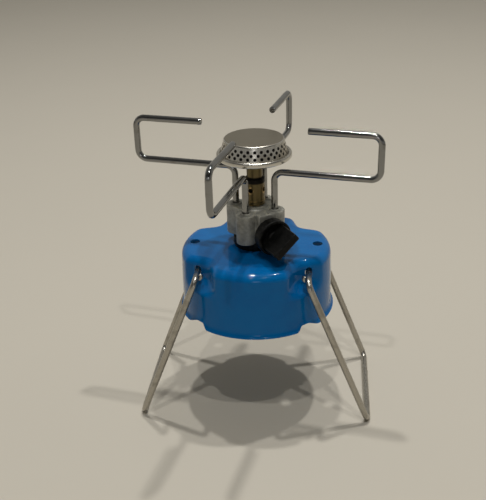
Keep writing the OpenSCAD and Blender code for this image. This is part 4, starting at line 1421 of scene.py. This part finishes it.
class STOVE_OT_stage(bpy.types.Operator):
    """Pale floor, soft studio light and the camera"""

    bl_idname = "stove.stage"
    bl_label = "Stage"

    def execute(self, context):
        sizes = context.scene.stove_stage
        context.scene.view_settings.view_transform = "Standard"
        self.camera(context, sizes)
        self.floor(context, sizes)
        self.world(context, sizes)
        for row, size in ((-1.0, sizes.front_share), (1.0, 1.0)):
            for side in (-1.0, 1.0):
                place = (sizes.lamp_side + side * sizes.lamp_spread,
                         row * sizes.lamp_rows - sizes.lamp_front, sizes.lamp_height)
                self.lamp(context, "lamp", place, size * sizes.lamp_size, size**2 * sizes.lamp_power)
        fill_place = (0.0, sizes.fill_back, sizes.lamp_height)
        self.lamp(context, "soft_box", fill_place, sizes.fill_size, sizes.fill_power)
        self.lamp(context, "front_box", sizes.front_place, sizes.front_size, sizes.front_power)
        return {"FINISHED"}

    @staticmethod
    def camera(context, sizes):
        """A camera turned by yaw, then pitch, then roll about its own view."""
        data = bpy.data.cameras.new("camera")
        data.lens = sizes.lens
        data.sensor_width = 36.0
        data.shift_x, data.shift_y = sizes.shift
        data.clip_start = 0.01
        forward = np.array([np.sin(sizes.yaw) * np.cos(sizes.pitch),
                            np.cos(sizes.yaw) * np.cos(sizes.pitch), np.sin(sizes.pitch)])
        right = np.array([np.cos(sizes.yaw), -np.sin(sizes.yaw), 0.0])
        up = np.cross(right, forward)
        across = right * np.cos(sizes.roll) + up * np.sin(sizes.roll)
        rise = up * np.cos(sizes.roll) - right * np.sin(sizes.roll)
        place = np.eye(4)
        place[:3] = np.stack([across, rise, -forward, np.array(sizes.eye)], -1)
        camera = bpy.data.objects.new("camera", data)
        camera.matrix_world = Matrix(place.tolist())
        context.scene.collection.objects.link(camera)
        context.scene.camera = camera

    @staticmethod
    def floor(context, sizes):
        """A wide flat disc just under the feet, with a ring of points near its middle."""
        ring = 0.4
        disc = np.array([(0.0, 0.0), (ring, 0.0), (sizes.floor_radius, 0.0)])
        mesh = grid_mesh("floor", [(turned(disc, 64), False)])
        material, tree, shader = new_material("pale_floor")
        cloud = noise(tree, object_place(tree), 5.0, 4.0)
        colour_now = context.scene.stove_finishes.floor
        darker = tuple(0.965 * c for c in colour_now[:3]) + (1.0,)
        connect(tree, shader, {"Base Color": mixed(tree, cloud, darker, colour_now), "Roughness": 0.8,
                               "Specular IOR Level": 0.2})
        mesh.materials.append(material)
        floor = bpy.data.objects.new("floor", mesh)
        context.scene.collection.objects.link(floor)

    @staticmethod
    def world(context, sizes):
        """A plain room: pale behind the stove, and dark but for a pale horizon behind the camera."""
        world = bpy.data.worlds.new("studio")
        world.use_nodes = True
        tree = world.node_tree
        tree.nodes.clear()
        heading = split(tree, put(tree, "ShaderNodeTexCoord").outputs["Generated"])
        behind = fit(tree, heading[1], -0.45, 0.45)
        above = fit(tree, heading[2], 0.45, 0.95)
        level = fit(tree, heading[2], 0.30, 0.14)
        shade = mixed(tree, level, sizes.room, sizes.horizon)
        shade = mixed(tree, behind, shade, sizes.wall)
        shade = mixed(tree, above, shade, sizes.ceiling)
        light = put(tree, "ShaderNodeBackground", {"Color": shade, "Strength": 1.0})
        put(tree, "ShaderNodeOutputWorld", {"Surface": light.outputs[0]})
        context.scene.world = world

    @staticmethod
    def lamp(context, name, place, size, energy):
        """A round area lamp aimed at the stove."""
        data = bpy.data.lights.new(name, "AREA")
        data.shape = "DISK"
        data.size = size
        data.energy = energy
        lamp = bpy.data.objects.new(name, data)
        aim = Vector(place) - Vector(context.scene.stove_stage.lamp_target)
        lamp.matrix_world = Matrix.Translation(place) @ aim.to_track_quat("Z", "Y").to_matrix().to_4x4()
        context.scene.collection.objects.link(lamp)


# Panel and registration

SETTINGS = {
    "stove_cup": CupSizes, "stove_wires": WireSizes, "stove_body": BodySizes, "stove_knob": KnobSizes,
    "stove_burner": BurnerSizes, "stove_finishes": Finishes, "stove_stage": StageSizes,
}
OPERATORS = (
    STOVE_OT_stage, STOVE_OT_cup, STOVE_OT_collar, STOVE_OT_legs, STOVE_OT_supports, STOVE_OT_body,
    STOVE_OT_neck, STOVE_OT_burner, STOVE_OT_knob, STOVE_OT_fittings,
)


class STOVE_PT_panel(bpy.types.Panel):
    """Lists the stove's operators and settings"""

    bl_idname = "STOVE_PT_panel"
    bl_label = "Camping stove"
    bl_space_type = "VIEW_3D"
    bl_region_type = "UI"
    bl_category = "Stove"

    def draw(self, context):
        for operator in OPERATORS:
            self.layout.operator(operator.bl_idname)
        for name, kind in SETTINGS.items():
            box = self.layout.box()
            for key in kind.__annotations__:
                box.prop(getattr(context.scene, name), key)


def register():
    for made in (*SETTINGS.values(), *OPERATORS, STOVE_PT_panel):
        bpy.utils.register_class(made)
    for name, kind in SETTINGS.items():
        setattr(bpy.types.Scene, name, bpy.props.PointerProperty(type=kind))


def unregister():
    for name in SETTINGS:
        delattr(bpy.types.Scene, name)
    for made in (STOVE_PT_panel, *reversed(OPERATORS), *reversed(SETTINGS.values())):
        bpy.utils.unregister_class(made)


def main():
    register()
    for operator in OPERATORS:
        getattr(bpy.ops.stove, operator.bl_idname.split(".")[1])()


if __name__ == "__main__":
    main()
